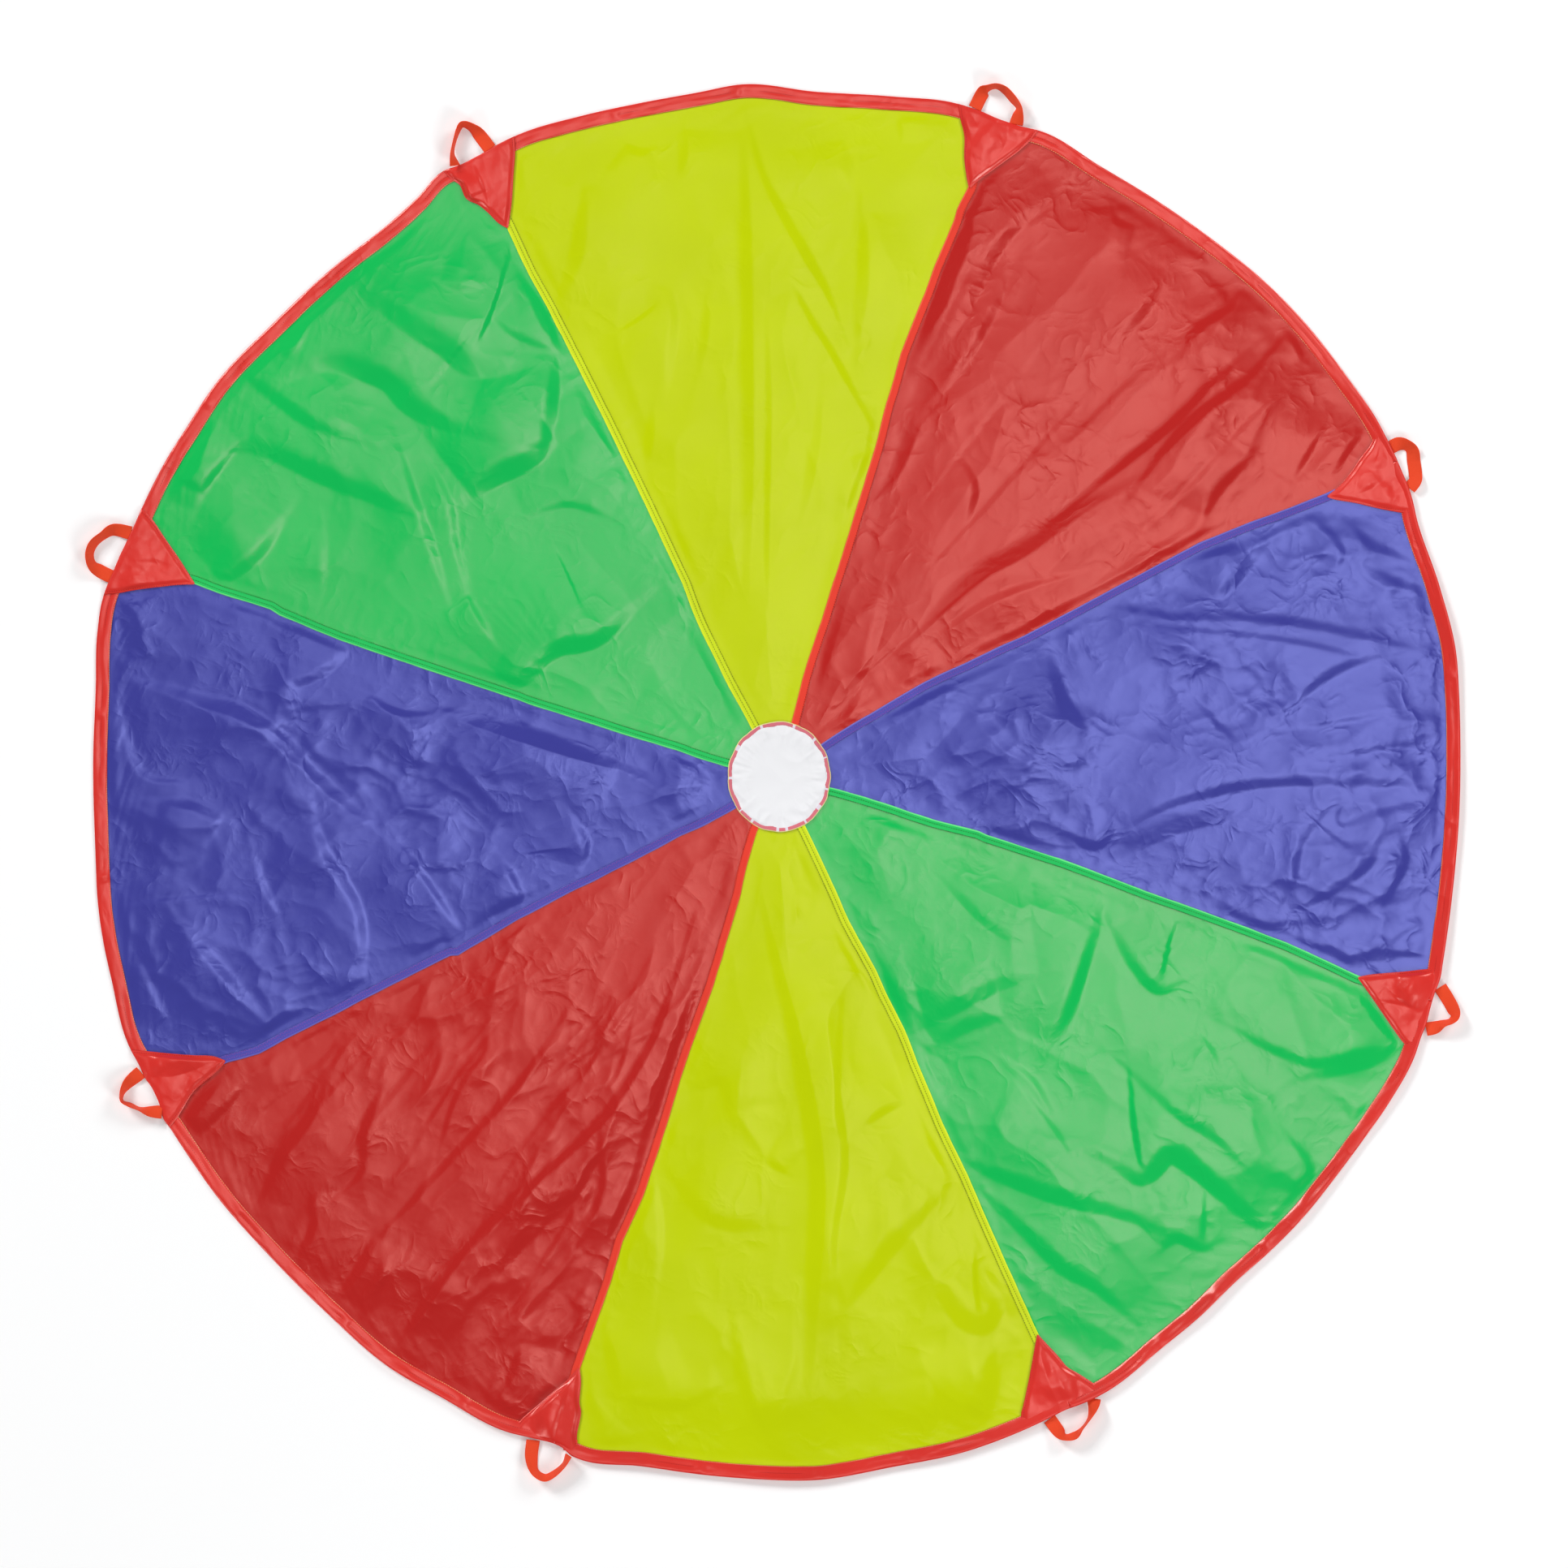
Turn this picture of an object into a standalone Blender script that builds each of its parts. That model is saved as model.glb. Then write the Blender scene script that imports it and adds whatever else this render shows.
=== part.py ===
"""Play parachute laid out flat, as an assembly of its sewn pieces.

Eight fabric gores meet at eight radial seams round a covered vent. A folded
binding closes the rim, and each seam ends in a corner patch that holds the two
sewn ends of a webbing handle loop.

Metres, +Z up. The origin is the middle of the vent cover's underside, on the
surface that the canopy lies on. +X is the picture's right and +Y its top.
"""

import math

import bpy
import numpy as np

# Driving sizes
CANOPY_DIAMETER = 2.0
FABRIC = 0.0006
LAYER_GAP = 0.0003
HEM_WIDTH = 0.020
SEAM_WIDTH = 0.011
SEAM_LAP = 0.0015
VENT_WIDTH = 0.149
VENT_LENGTH = 0.160
VENT_BINDING_WIDTH = 0.0065
VENT_COVER_LAP = 0.003
WEBBING = 0.0012
WEBBING_WIDTH = 0.0195
SEWN_END_LENGTH = 0.030
HANDLE_TILT = math.radians(65)

# Relief of the laid cloth, which lies flat beside what is sewn onto it
FOLD_HEIGHT_SHARE = 0.24
FLAT_MARGIN = 0.005
FLAT_LIMIT_SHARE = 0.3
FOLD_FADE = 0.060

# How finely the curved pieces are divided
GORE_ROWS = 16
GORE_COLUMNS = 12
VENT_SIDES = 48
HANDLE_SECTIONS = 25
HANDLE_TWIST_SHARE = 0.34

# The photograph's frame, in pixels: x to the right and y down
PHOTO_VENT = (960, 957)
PHOTO_CANOPY = 1705

# The corners, clockwise from the upper left. Each seam has its direction from
# the vent where it ends at the rim, and the points that its slightly bowed line
# passes on the way there. Each patch has its tip, the two ends of its outer edge
# and the feet of its handle, counter-clockwise one first. The loop's route runs
# from the first foot to the second.
CORNERS = [
    {
        "seam_degrees": 116.3,
        "seam": ((860, 766), (803, 636), (723, 472), (653, 339)),
        "tip": (626, 281),
        "edge": ((546, 213), (634, 168)),
        "feet": ((561, 204), (604, 183)),
        "route": ((557, 186), (561, 170), (567, 156), (577, 154), (590, 165)),
    },
    {
        "seam_degrees": 72.3,
        "seam": ((1013, 766), (1043, 665), (1078, 554), (1111, 440), (1150, 334)),
        "tip": (1194, 232),
        "edge": ((1180, 128), (1280, 161)),
        "feet": ((1201, 134), (1252, 153)),
        "route": ((1208, 117), (1225, 107), (1238, 112), (1251, 125), (1258, 139)),
    },
    {
        "seam_degrees": 27.1,
        "seam": ((1018, 914), (1150, 837), (1263, 783), (1402, 711), (1537, 647)),
        "tip": (1635, 612),
        "edge": ((1701, 530), (1744, 628)),
        "feet": ((1713, 551), (1736, 603)),
        "route": ((1726, 546), (1738, 550), (1743, 566), (1746, 582), (1744, 594)),
    },
    {
        "seam_degrees": -19.0,
        "seam": ((1125, 1004), (1205, 1027), (1305, 1060), (1411, 1099), (1584, 1162)),
        "tip": (1672, 1204),
        "edge": ((1781, 1188), (1746, 1302)),
        "feet": ((1773, 1215), (1757, 1268)),
        "route": ((1784, 1227), (1792, 1241), (1790, 1254), (1781, 1260), (1771, 1264)),
    },
    {
        "seam_degrees": -65.2,
        "seam": ((1030, 1100), (1078, 1193), (1113, 1268), (1163, 1390), (1240, 1560)),
        "tip": (1278, 1644),
        "edge": ((1362, 1716), (1260, 1763)),
        "feet": ((1347, 1723), (1293, 1748)),
        "route": ((1347, 1738), (1340, 1753), (1328, 1765), (1315, 1769), (1303, 1762)),
    },
    {
        "seam_degrees": -108.6,
        "seam": ((912, 1100), (889, 1178), (857, 1273), (824, 1375), (766, 1532)),
        "tip": (711, 1685),
        "edge": ((713, 1797), (631, 1765)),
        "feet": ((701, 1792), (658, 1775)),
        "route": ((693, 1803), (683, 1813), (671, 1820), (659, 1813), (655, 1798)),
    },
    {
        "seam_degrees": -152.9,
        "seam": ((770, 1065), (640, 1131), (564, 1175), (477, 1214), (352, 1279)),
        "tip": (278, 1307),
        "edge": ((209, 1389), (161, 1294)),
        "feet": ((199, 1371), (175, 1322)),
        "route": ((186, 1371), (170, 1367), (154, 1357), (155, 1342), (163, 1328)),
    },
    {
        "seam_degrees": 161.8,
        "seam": ((770, 904), (649, 867), (535, 827), (417, 786), (300, 743)),
        "tip": (242, 720),
        "edge": ((128, 732), (177, 629)),
        "feet": ((138, 711), (162, 658)),
        "route": ((126, 706), (115, 697), (110, 682), (118, 667), (140, 655)),
    },
]

# The gores, clockwise. Each lies between its corner and the next one, and its
# rim passes through these points between the two patches.
GORES = [
    {
        "name": "panel_yellow_north",
        "rim": ((720, 142), (784, 128), (860, 114), (915, 104), (1004, 113), (1100, 119)),
    },
    {
        "name": "panel_red_northeast",
        "rim": ((1356, 205), (1422, 245), (1495, 296), (1558, 347), (1607, 397), (1660, 465)),
    },
    {
        "name": "panel_blue_east",
        "rim": ((1773, 722), (1794, 808), (1797, 850), (1799, 940), (1797, 1010), (1788, 1110)),
    },
    {
        "name": "panel_green_southeast",
        "rim": (
            (1712, 1357), (1678, 1406), (1643, 1453), (1606, 1499),
            (1565, 1541), (1521, 1580), (1479, 1621), (1432, 1660),
        ),
    },
    {
        "name": "panel_yellow_south",
        "rim": ((1190, 1788), (1100, 1807), (1005, 1823), (935, 1822), (870, 1817), (790, 1806)),
    },
    {
        "name": "panel_red_southwest",
        "rim": ((540, 1719), (485, 1688), (400, 1615), (330, 1545), (268, 1475), (234, 1427)),
    },
    {
        "name": "panel_blue_west",
        "rim": ((137, 1205), (128, 1164), (120, 1105), (118, 1060), (115, 930), (118, 850), (120, 780)),
    },
    {
        "name": "panel_green_northwest",
        "rim": ((210, 558), (226, 533), (268, 470), (335, 400), (410, 330), (480, 275), (515, 243)),
    },
]

# The main folds of each laid gore: where the ridge starts and ends, and its half width
FOLDS = {
    "panel_yellow_north": (
        ((925, 140), (940, 470), 46),
        ((950, 230), (1015, 420), 40),
        ((730, 300), (800, 560), 42),
    ),
    "panel_red_northeast": (
        ((1570, 430), (1330, 660), 46),
        ((1420, 300), (1230, 620), 44),
        ((1230, 330), (1150, 560), 42),
    ),
    "panel_blue_east": (
        ((1690, 740), (1450, 860), 44),
        ((1740, 930), (1400, 950), 46),
        ((1640, 1090), (1350, 1010), 42),
    ),
    "panel_green_southeast": (
        ((1560, 1240), (1260, 1170), 44),
        ((1480, 1400), (1250, 1300), 46),
        ((1400, 1560), (1240, 1400), 42),
    ),
    "panel_yellow_south": (
        ((985, 1790), (975, 1500), 46),
        ((960, 1480), (975, 1200), 40),
        ((1150, 1690), (1090, 1450), 42),
    ),
    "panel_red_southwest": (
        ((520, 1610), (720, 1330), 46),
        ((400, 1450), (620, 1290), 44),
        ((660, 1560), (790, 1270), 40),
    ),
    "panel_blue_west": (
        ((200, 1150), (470, 1080), 44),
        ((190, 960), (520, 980), 46),
        ((300, 800), (560, 880), 42),
    ),
    "panel_green_northwest": (
        ((380, 380), (600, 450), 46),
        ((250, 570), (470, 600), 46),
        ((560, 650), (690, 520), 42),
        ((500, 540), (560, 740), 40),
    ),
}

# Heights of the layers, one on the other, from the surface that they lie on
HEM_UNDER = FABRIC
PANEL_UNDER = HEM_UNDER + LAYER_GAP
PANEL_TOP = PANEL_UNDER + FABRIC
HEM_OVER = PANEL_TOP + LAYER_GAP
HEM_TOP = HEM_OVER + FABRIC
SEWN_END_UNDER = HEM_TOP + LAYER_GAP
SEWN_END_TOP = SEWN_END_UNDER + WEBBING
PATCH_UNDER = SEWN_END_TOP + LAYER_GAP
PATCH_TOP = PATCH_UNDER + FABRIC
VENT_BINDING_UNDER = HEM_TOP + LAYER_GAP

# The longest diagonal of a gore's grid cells
GORE_CELL = math.hypot(
    CANOPY_DIAMETER / 2 / (GORE_ROWS - 3),
    CANOPY_DIAMETER * math.pi / len(CORNERS) / (GORE_COLUMNS - 3),
)

# sRGB colours of the cloth, roughness of its satin and of the webbing
COLOURS = {
    "yellow": (0.80, 0.86, 0.12),
    "red": (0.80, 0.25, 0.23),
    "blue": (0.33, 0.31, 0.69),
    "green": (0.28, 0.78, 0.43),
    "rim_red": (0.93, 0.29, 0.27),
    "webbing_red": (0.95, 0.33, 0.20),
    "vent_pink": (0.88, 0.50, 0.54),
    "vent_white": (0.94, 0.94, 0.95),
}
SATIN_ROUGHNESS = 0.38
WEBBING_ROUGHNESS = 0.70
SEAM_COLOURS = ("yellow", "red", "blue", "green", "yellow", "red", "blue", "green")


def clear_scene():
    for obj in list(bpy.data.objects):
        bpy.data.objects.remove(obj)


def linear(channel):
    """One sRGB channel as the linear value that a shader takes."""
    return channel / 12.92 if channel <= 0.04045 else ((channel + 0.055) / 1.055) ** 2.4


def cloth_material(colour, roughness):
    material = bpy.data.materials.get(colour)
    if material is None:
        material = bpy.data.materials.new(colour)
        material.use_nodes = True
        shader = material.node_tree.nodes["Principled BSDF"]
        shader.inputs["Base Color"].default_value = (*map(linear, COLOURS[colour]), 1)
        shader.inputs["Roughness"].default_value = roughness
        shader.inputs["Metallic"].default_value = 0
    return material


def add_object(name, vertices, faces, colour, roughness=SATIN_ROUGHNESS):
    mesh = bpy.data.meshes.new(name)
    mesh.from_pydata([tuple(map(float, v)) for v in vertices], [], faces)
    mesh.materials.append(cloth_material(colour, roughness))
    mesh.shade_smooth()
    mesh.set_sharp_from_angle(angle=math.radians(30))
    obj = bpy.data.objects.new(name, mesh)
    bpy.context.scene.collection.objects.link(obj)
    return obj


def placed(pixel):
    """A point of the photograph as x and y on the floor."""
    scale = CANOPY_DIAMETER / PHOTO_CANOPY
    return np.array([pixel[0] - PHOTO_VENT[0], PHOTO_VENT[1] - pixel[1]]) * scale


def unit(vector):
    return vector / np.linalg.norm(vector)


def outward_of(corner):
    """The direction square to a patch's outer edge, away from the vent."""
    first, last = map(placed, corner["edge"])
    along = unit(last - first)
    out = np.array([-along[1], along[0]])
    return out if out @ first > 0 else -out


def seam_direction(corner):
    angle = math.radians(corner["seam_degrees"])
    return np.array([math.cos(angle), math.sin(angle)])


def seam_rim_radius(corner):
    """How far from the vent's centre the seam meets the patch's outer edge."""
    out = outward_of(corner)
    return placed(corner["edge"][0]) @ out / (seam_direction(corner) @ out)


def seam_line(corner):
    """Rising radii of a seam's points, and how far each is turned from the seam's end."""
    along = seam_direction(corner)
    square = np.array([-along[1], along[0]])
    points = np.array([placed(pixel) for pixel in corner["seam"]])
    radii = np.linalg.norm(points, axis=1)
    turns = np.arctan2(points @ square, points @ along)
    return np.append(radii, seam_rim_radius(corner)), np.append(turns, 0)


def seam_angle(corner, radius):
    """The seam's direction from the vent at one radius."""
    return math.radians(corner["seam_degrees"]) + float(np.interp(radius, *seam_line(corner)))


def seam_point(corner, radius):
    angle = seam_angle(corner, radius)
    return np.array([math.cos(angle), math.sin(angle)]) * radius


def rim_knots():
    """Angles and radii of the rim, all the way round, by rising angle."""
    points = []
    for corner, gore in zip(CORNERS, GORES, strict=True):
        points += [placed(pixel) for pixel in (*corner["edge"], *gore["rim"])]
        points.append(seam_direction(corner) * seam_rim_radius(corner))
    polar = sorted((math.atan2(y, x), math.hypot(x, y)) for x, y in points)
    return np.array(polar).T


RIM_ANGLES, RIM_RADII = rim_knots()


def rim_radius(angle):
    """The rim's radius at an angle, on a smooth closed curve through the knots."""
    turn = 2 * math.pi
    angles = np.concatenate([RIM_ANGLES - turn, RIM_ANGLES, RIM_ANGLES + turn])
    radii = np.tile(RIM_RADII, 3)
    angle = (angle + math.pi) % turn - math.pi
    i = int(np.searchsorted(angles, angle)) - 1
    span = angles[i + 1] - angles[i]
    slope = [(radii[k + 1] - radii[k - 1]) / (angles[k + 1] - angles[k - 1]) for k in (i, i + 1)]
    t = (angle - angles[i]) / span
    return (
        radii[i] * (1 + 2 * t) * (1 - t) ** 2
        + radii[i + 1] * t * t * (3 - 2 * t)
        + span * t * (1 - t) * (slope[0] * (1 - t) - slope[1] * t)
    )


def vent_radius(angle, grow):
    """The vent binding's outer radius at an angle, made larger by grow."""
    across, along = VENT_WIDTH / 2 + grow, VENT_LENGTH / 2 + grow
    return 1 / math.hypot(math.cos(angle) / across, math.sin(angle) / along)


def gore_angles(start, end, nominal_radius):
    """Column angles of a gore, from one seam to the next clockwise, at one radius.

    The outer columns keep their distance to the seams, so that the cloth
    stays flat under the seam strips.
    """
    gap = LAYER_GAP / 2 / nominal_radius
    flat = min((SEAM_WIDTH + FLAT_MARGIN) / nominal_radius, (start - end) * FLAT_LIMIT_SHARE)
    inner = np.linspace(start - flat, end + flat, GORE_COLUMNS - 1)
    return np.concatenate([[start - gap], inner, [end + gap]])


def fold_height(name, point):
    """How far the main folds lift the cloth at a point of a gore."""
    height = 0
    for start, end, half_pixels in FOLDS[name]:
        a, b = placed(start), placed(end)
        half = half_pixels * CANOPY_DIAMETER / PHOTO_CANOPY
        along = np.clip((point - a) @ (b - a) / ((b - a) @ (b - a)), 0, 1)
        away = np.linalg.norm(point - a - along * (b - a)) / half
        height += half * FOLD_HEIGHT_SHARE * math.exp(-away * away)
    return height


def patch_fade(point):
    """Zero on the grid cells that reach a corner patch, rising to one away from them."""
    fade = 1
    for corner in CORNERS:
        seam_end = seam_direction(corner) * seam_rim_radius(corner)
        flat = np.linalg.norm(placed(corner["tip"]) - seam_end) + GORE_CELL
        fade = min(fade, (np.linalg.norm(point - seam_end) - flat) / FOLD_FADE)
    return max(float(fade), 0)


def slab(grid, thickness):
    """A closed sheet over a grid of points, as vertices and triangles."""
    rows, columns = grid.shape[:2]
    under = grid.reshape(-1, 3)
    over = under + (0, 0, thickness)
    faces = []
    count = rows * columns

    def at(i, j):
        return i * columns + j

    for i in range(rows - 1):
        for j in range(columns - 1):
            a, b, c, d = at(i, j), at(i + 1, j), at(i + 1, j + 1), at(i, j + 1)
            faces += [(a, c, b), (a, d, c)]
            faces += [(a + count, b + count, c + count), (a + count, c + count, d + count)]
    border = (
        [at(i, 0) for i in range(rows)]
        + [at(rows - 1, j) for j in range(1, columns)]
        + [at(i, columns - 1) for i in range(rows - 2, -1, -1)]
        + [at(0, j) for j in range(columns - 2, 0, -1)]
    )
    for a, b in zip(border, border[1:] + border[:1], strict=True):
        faces += [(a, b, b + count), (a, b + count, a + count)]
    return np.concatenate([under, over]), faces


def sweep(sections, closed=False):
    """A tube through equal sections of points, as vertices and faces."""
    count, sides = len(sections), len(sections[0])
    faces = []
    for i in range(count if closed else count - 1):
        a, b = i * sides, (i + 1) % count * sides
        for k in range(sides):
            n = (k + 1) % sides
            faces.append((a + k, a + n, b + n, b + k))
    if not closed:
        faces += [tuple(reversed(range(sides))), tuple(range((count - 1) * sides, count * sides))]
    return np.concatenate(sections), faces


def facing_out(vertices, faces):
    """The same faces, turned round if together they enclose a negative volume."""
    volume = 0
    for face in faces:
        for i in range(1, len(face) - 1):
            a, b, c = vertices[face[0]], vertices[face[i]], vertices[face[i + 1]]
            volume += a @ np.cross(b, c)
    return faces if volume > 0 else [tuple(reversed(face)) for face in faces]


def prism(outline, low, high):
    """A flat piece with this outline between two heights."""
    sections = [np.array([(x, y, z) for x, y in outline]) for z in (low, high)]
    return sweep(sections)


def add_solid(name, shape, colour, roughness=SATIN_ROUGHNESS):
    vertices, faces = shape
    return add_object(name, vertices, facing_out(vertices, faces), colour, roughness)


def gore_seams(index, radius):
    """The angles of a gore's two seams at a radius, the second one clockwise of the first."""
    start = seam_angle(CORNERS[index], radius)
    end = seam_angle(CORNERS[(index + 1) % len(CORNERS)], radius)
    return start, end if end < start else end - 2 * math.pi


def make_panel(index):
    """One gore, from under the vent binding to inside the fold of the hem."""
    name = GORES[index]["name"]
    nominal_rim = CANOPY_DIAMETER / 2
    nominal_vent = (VENT_WIDTH + VENT_LENGTH) / 4
    grid = []
    for row in range(GORE_ROWS):
        share = min(max(row - 1, 0) / (GORE_ROWS - 3), 1)
        nominal = nominal_vent + (nominal_rim - nominal_vent) * share
        line = []
        start, end = gore_seams(index, nominal)
        for column, angle in enumerate(gore_angles(start, end, nominal)):
            inner = vent_radius(angle, FLAT_MARGIN)
            outer = rim_radius(angle) - HEM_WIDTH - FLAT_MARGIN
            radius = inner + (outer - inner) * share
            if row == 0:
                radius = vent_radius(angle, -VENT_BINDING_WIDTH / 2)
            if row == GORE_ROWS - 1:
                radius = rim_radius(angle) - FABRIC - LAYER_GAP
            point = np.array([math.cos(angle), math.sin(angle)]) * radius
            inside = 1 < row < GORE_ROWS - 2 and 1 < column < GORE_COLUMNS - 1
            lift = fold_height(name, point) * patch_fade(point) if inside else 0
            line.append((*point, PANEL_UNDER + lift))
        grid.append(line)
    add_solid(name, slab(np.array(grid), FABRIC), name.split("_")[1])


def make_hem(index):
    """The rim's folded binding along one gore, which holds the gore's edge."""
    start, end = gore_seams(index, CANOPY_DIAMETER)
    profile = (
        (0, 0),
        (HEM_WIDTH, 0),
        (HEM_WIDTH, HEM_UNDER),
        (FABRIC, HEM_UNDER),
        (FABRIC, HEM_OVER),
        (HEM_WIDTH, HEM_OVER),
        (HEM_WIDTH, HEM_TOP),
        (0, HEM_TOP),
    )
    sections = []
    for angle in gore_angles(start, end, CANOPY_DIAMETER / 2):
        radius, way = rim_radius(angle), np.array([math.cos(angle), math.sin(angle)])
        sections.append(np.array([(*way * (radius - depth), z) for depth, z in profile]))
    add_solid(f"hem_binding_{index + 1}", sweep(sections), "rim_red")


def make_seam_strip(index):
    """The strip of the felled seam, on the clockwise side of its two gores' joint."""
    corner = CORNERS[index]
    inner = vent_radius(seam_angle(corner, 0), -VENT_BINDING_WIDTH / 2)
    outer = seam_rim_radius(corner) - HEM_WIDTH - SEAM_WIDTH / 2
    middle = [seam_point(corner, radius) for radius in np.linspace(inner, outer, GORE_ROWS)]
    sections = []
    for i, point in enumerate(middle):
        ahead = unit(middle[min(i + 1, GORE_ROWS - 1)] - middle[max(i - 1, 0)])
        clockwise = np.array([ahead[1], -ahead[0]])
        near, far = point - clockwise * SEAM_LAP, point + clockwise * (SEAM_WIDTH - SEAM_LAP)
        corners = ((near, HEM_OVER), (far, HEM_OVER), (far, HEM_TOP), (near, HEM_TOP))
        sections.append(np.array([(*place, height) for place, height in corners]))
    add_solid(f"seam_strip_{index + 1}", sweep(sections), SEAM_COLOURS[index])


def patch_outline(corner):
    return [placed(pixel) for pixel in (*corner["edge"], corner["tip"])]


def make_patch(index):
    shape = prism(patch_outline(CORNERS[index]), PATCH_UNDER, PATCH_TOP)
    add_solid(f"corner_patch_{index + 1}", shape, "rim_red")


def clipped(outline, limits):
    """The part of a convex outline that lies inside a convex outline of limits."""
    middle = sum(limits) / len(limits)
    for a, b in zip(limits, limits[1:] + limits[:1], strict=True):
        across = np.array([a[1] - b[1], b[0] - a[0]])
        across = across if across @ (middle - a) > 0 else -across
        kept = []
        for p, q in zip(outline, outline[1:] + outline[:1], strict=True):
            inside, after = (p - a) @ across, (q - a) @ across
            if inside >= 0:
                kept.append(p)
            if inside * after < 0:
                kept.append(p + (q - p) * inside / (inside - after))
        outline = kept
    return outline


def foot_of(corner, side):
    """Where a handle's leg crosses the patch's outer edge."""
    start, foot = placed(corner["edge"][0]), placed(corner["feet"][side])
    out = outward_of(corner)
    return foot - out * ((foot - start) @ out)


def make_sewn_end(index, side):
    """The end of the handle's webbing, sewn down between the hem and the patch."""
    corner = CORNERS[index]
    out = outward_of(corner)
    along = np.array([-out[1], out[0]]) * WEBBING_WIDTH / 2
    foot = foot_of(corner, side)
    inner = foot - out * SEWN_END_LENGTH
    outline = clipped([foot - along, foot + along, inner + along, inner - along], patch_outline(corner))
    name = f"handle_end_{index + 1}_{'ab'[side]}"
    shape = prism(outline, SEWN_END_UNDER, SEWN_END_TOP)
    add_solid(name, shape, "webbing_red", WEBBING_ROUGHNESS)


def smooth_route(points, count):
    """Evenly spaced points on a smooth curve through the given ones."""
    points = np.array(points)
    padded = np.concatenate([[2 * points[0] - points[1]], points, [2 * points[-1] - points[-2]]])
    fine = []
    for i in range(len(points) - 1):
        before, a, b, after = padded[i : i + 4]
        for t in np.linspace(0, 1, count, endpoint=False):
            bend = (2 * before - 5 * a + 4 * b - after) * t * t
            swing = (3 * (a - b) + after - before) * t**3
            fine.append(a + ((b - before) * t + bend + swing) / 2)
    fine.append(points[-1])
    fine = np.array(fine)
    length = np.concatenate([[0], np.cumsum(np.linalg.norm(np.diff(fine, axis=0), axis=1))])
    stations = np.linspace(0, length[-1], count)
    return np.stack([np.interp(stations, length, fine[:, k]) for k in (0, 1)], axis=1)


def eased(share):
    share = min(max(share, 0), 1)
    return share * share * (3 - 2 * share)


def make_handle(index):
    """The free loop: flat where it leaves the patch, and up on its edge further out."""
    corner = CORNERS[index]
    out = outward_of(corner)
    ends = [foot_of(corner, side) + out * LAYER_GAP for side in (0, 1)]
    route = smooth_route([ends[0], *map(placed, corner["route"]), ends[1]], HANDLE_SECTIONS)
    edge_way = unit(ends[0] - ends[1])
    sections = []
    for i, point in enumerate(route):
        share = i / (HANDLE_SECTIONS - 1)
        to_end = min(share, 1 - share)
        twist = eased(to_end / HANDLE_TWIST_SHARE)
        tilt = HANDLE_TILT * twist
        ahead = route[min(i + 1, HANDLE_SECTIONS - 1)] - route[max(i - 1, 0)]
        across = unit(np.array([-ahead[1], ahead[0]]))
        if share < 0.5:
            at_end = edge_way
        else:
            at_end = -edge_way
        across = unit(across * twist + at_end * (1 - twist))
        wide = np.array([*across * math.cos(tilt), math.sin(tilt)]) * WEBBING_WIDTH / 2
        thick = np.array([*-across * math.sin(tilt), math.cos(tilt)]) * WEBBING / 2
        sewn_height = SEWN_END_UNDER * (1 - twist)
        centre = np.array([*point, wide[2] + thick[2] + sewn_height])
        sections.append(
            np.array([centre + wide * w + thick * t for w, t in ((-1, -1), (1, -1), (1, 1), (-1, 1))])
        )
    handle = add_solid(f"handle_loop_{index + 1}", sweep(sections), "webbing_red", WEBBING_ROUGHNESS)
    move_origin(handle, hinge_point(corner))


def hinge_point(corner):
    """The middle of the line that the handle folds about, at the patch's upper edge."""
    middle = (foot_of(corner, 0) + foot_of(corner, 1)) / 2
    return (*(middle + outward_of(corner) * LAYER_GAP), PATCH_TOP - LAYER_GAP)


def move_origin(obj, point):
    """Puts the object's origin at a point and leaves its shape where it is."""
    for vertex in obj.data.vertices:
        vertex.co = [c - p for c, p in zip(vertex.co, point, strict=True)]
    obj.location = point


def vent_ring(grow):
    angles = np.arange(VENT_SIDES) * 2 * math.pi / VENT_SIDES
    return [np.array([math.cos(a), math.sin(a)]) * vent_radius(a, grow) for a in angles]


def make_vent():
    """The binding round the vent, over the seams' ends, and the cover under it."""
    outer, inner = vent_ring(0), vent_ring(-VENT_BINDING_WIDTH)
    low, high = VENT_BINDING_UNDER, VENT_BINDING_UNDER + FABRIC
    sections = [
        np.array([(*i, low), (*o, low), (*o, high), (*i, high)])
        for i, o in zip(inner, outer, strict=True)
    ]
    add_solid("vent_binding", sweep(sections, closed=True), "vent_pink")
    add_solid("vent_cover", prism(vent_ring(VENT_COVER_LAP), 0, FABRIC), "vent_white")


def main():
    clear_scene()
    for index in range(len(CORNERS)):
        make_panel(index)
        make_hem(index)
        make_seam_strip(index)
        make_patch(index)
        for side in (0, 1):
            make_sewn_end(index, side)
        make_handle(index)
    make_vent()


main()
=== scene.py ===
"""Looks of a play parachute laid out on a pale floor and seen from straight above.

Metres, +Z up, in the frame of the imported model: the origin is the middle of the
vent on the floor, +X is the picture's right and +Y its top. Places are given as
pixels of the photograph's 1932 pixel frame and turned into metres by placed().
"""

import math

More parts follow.
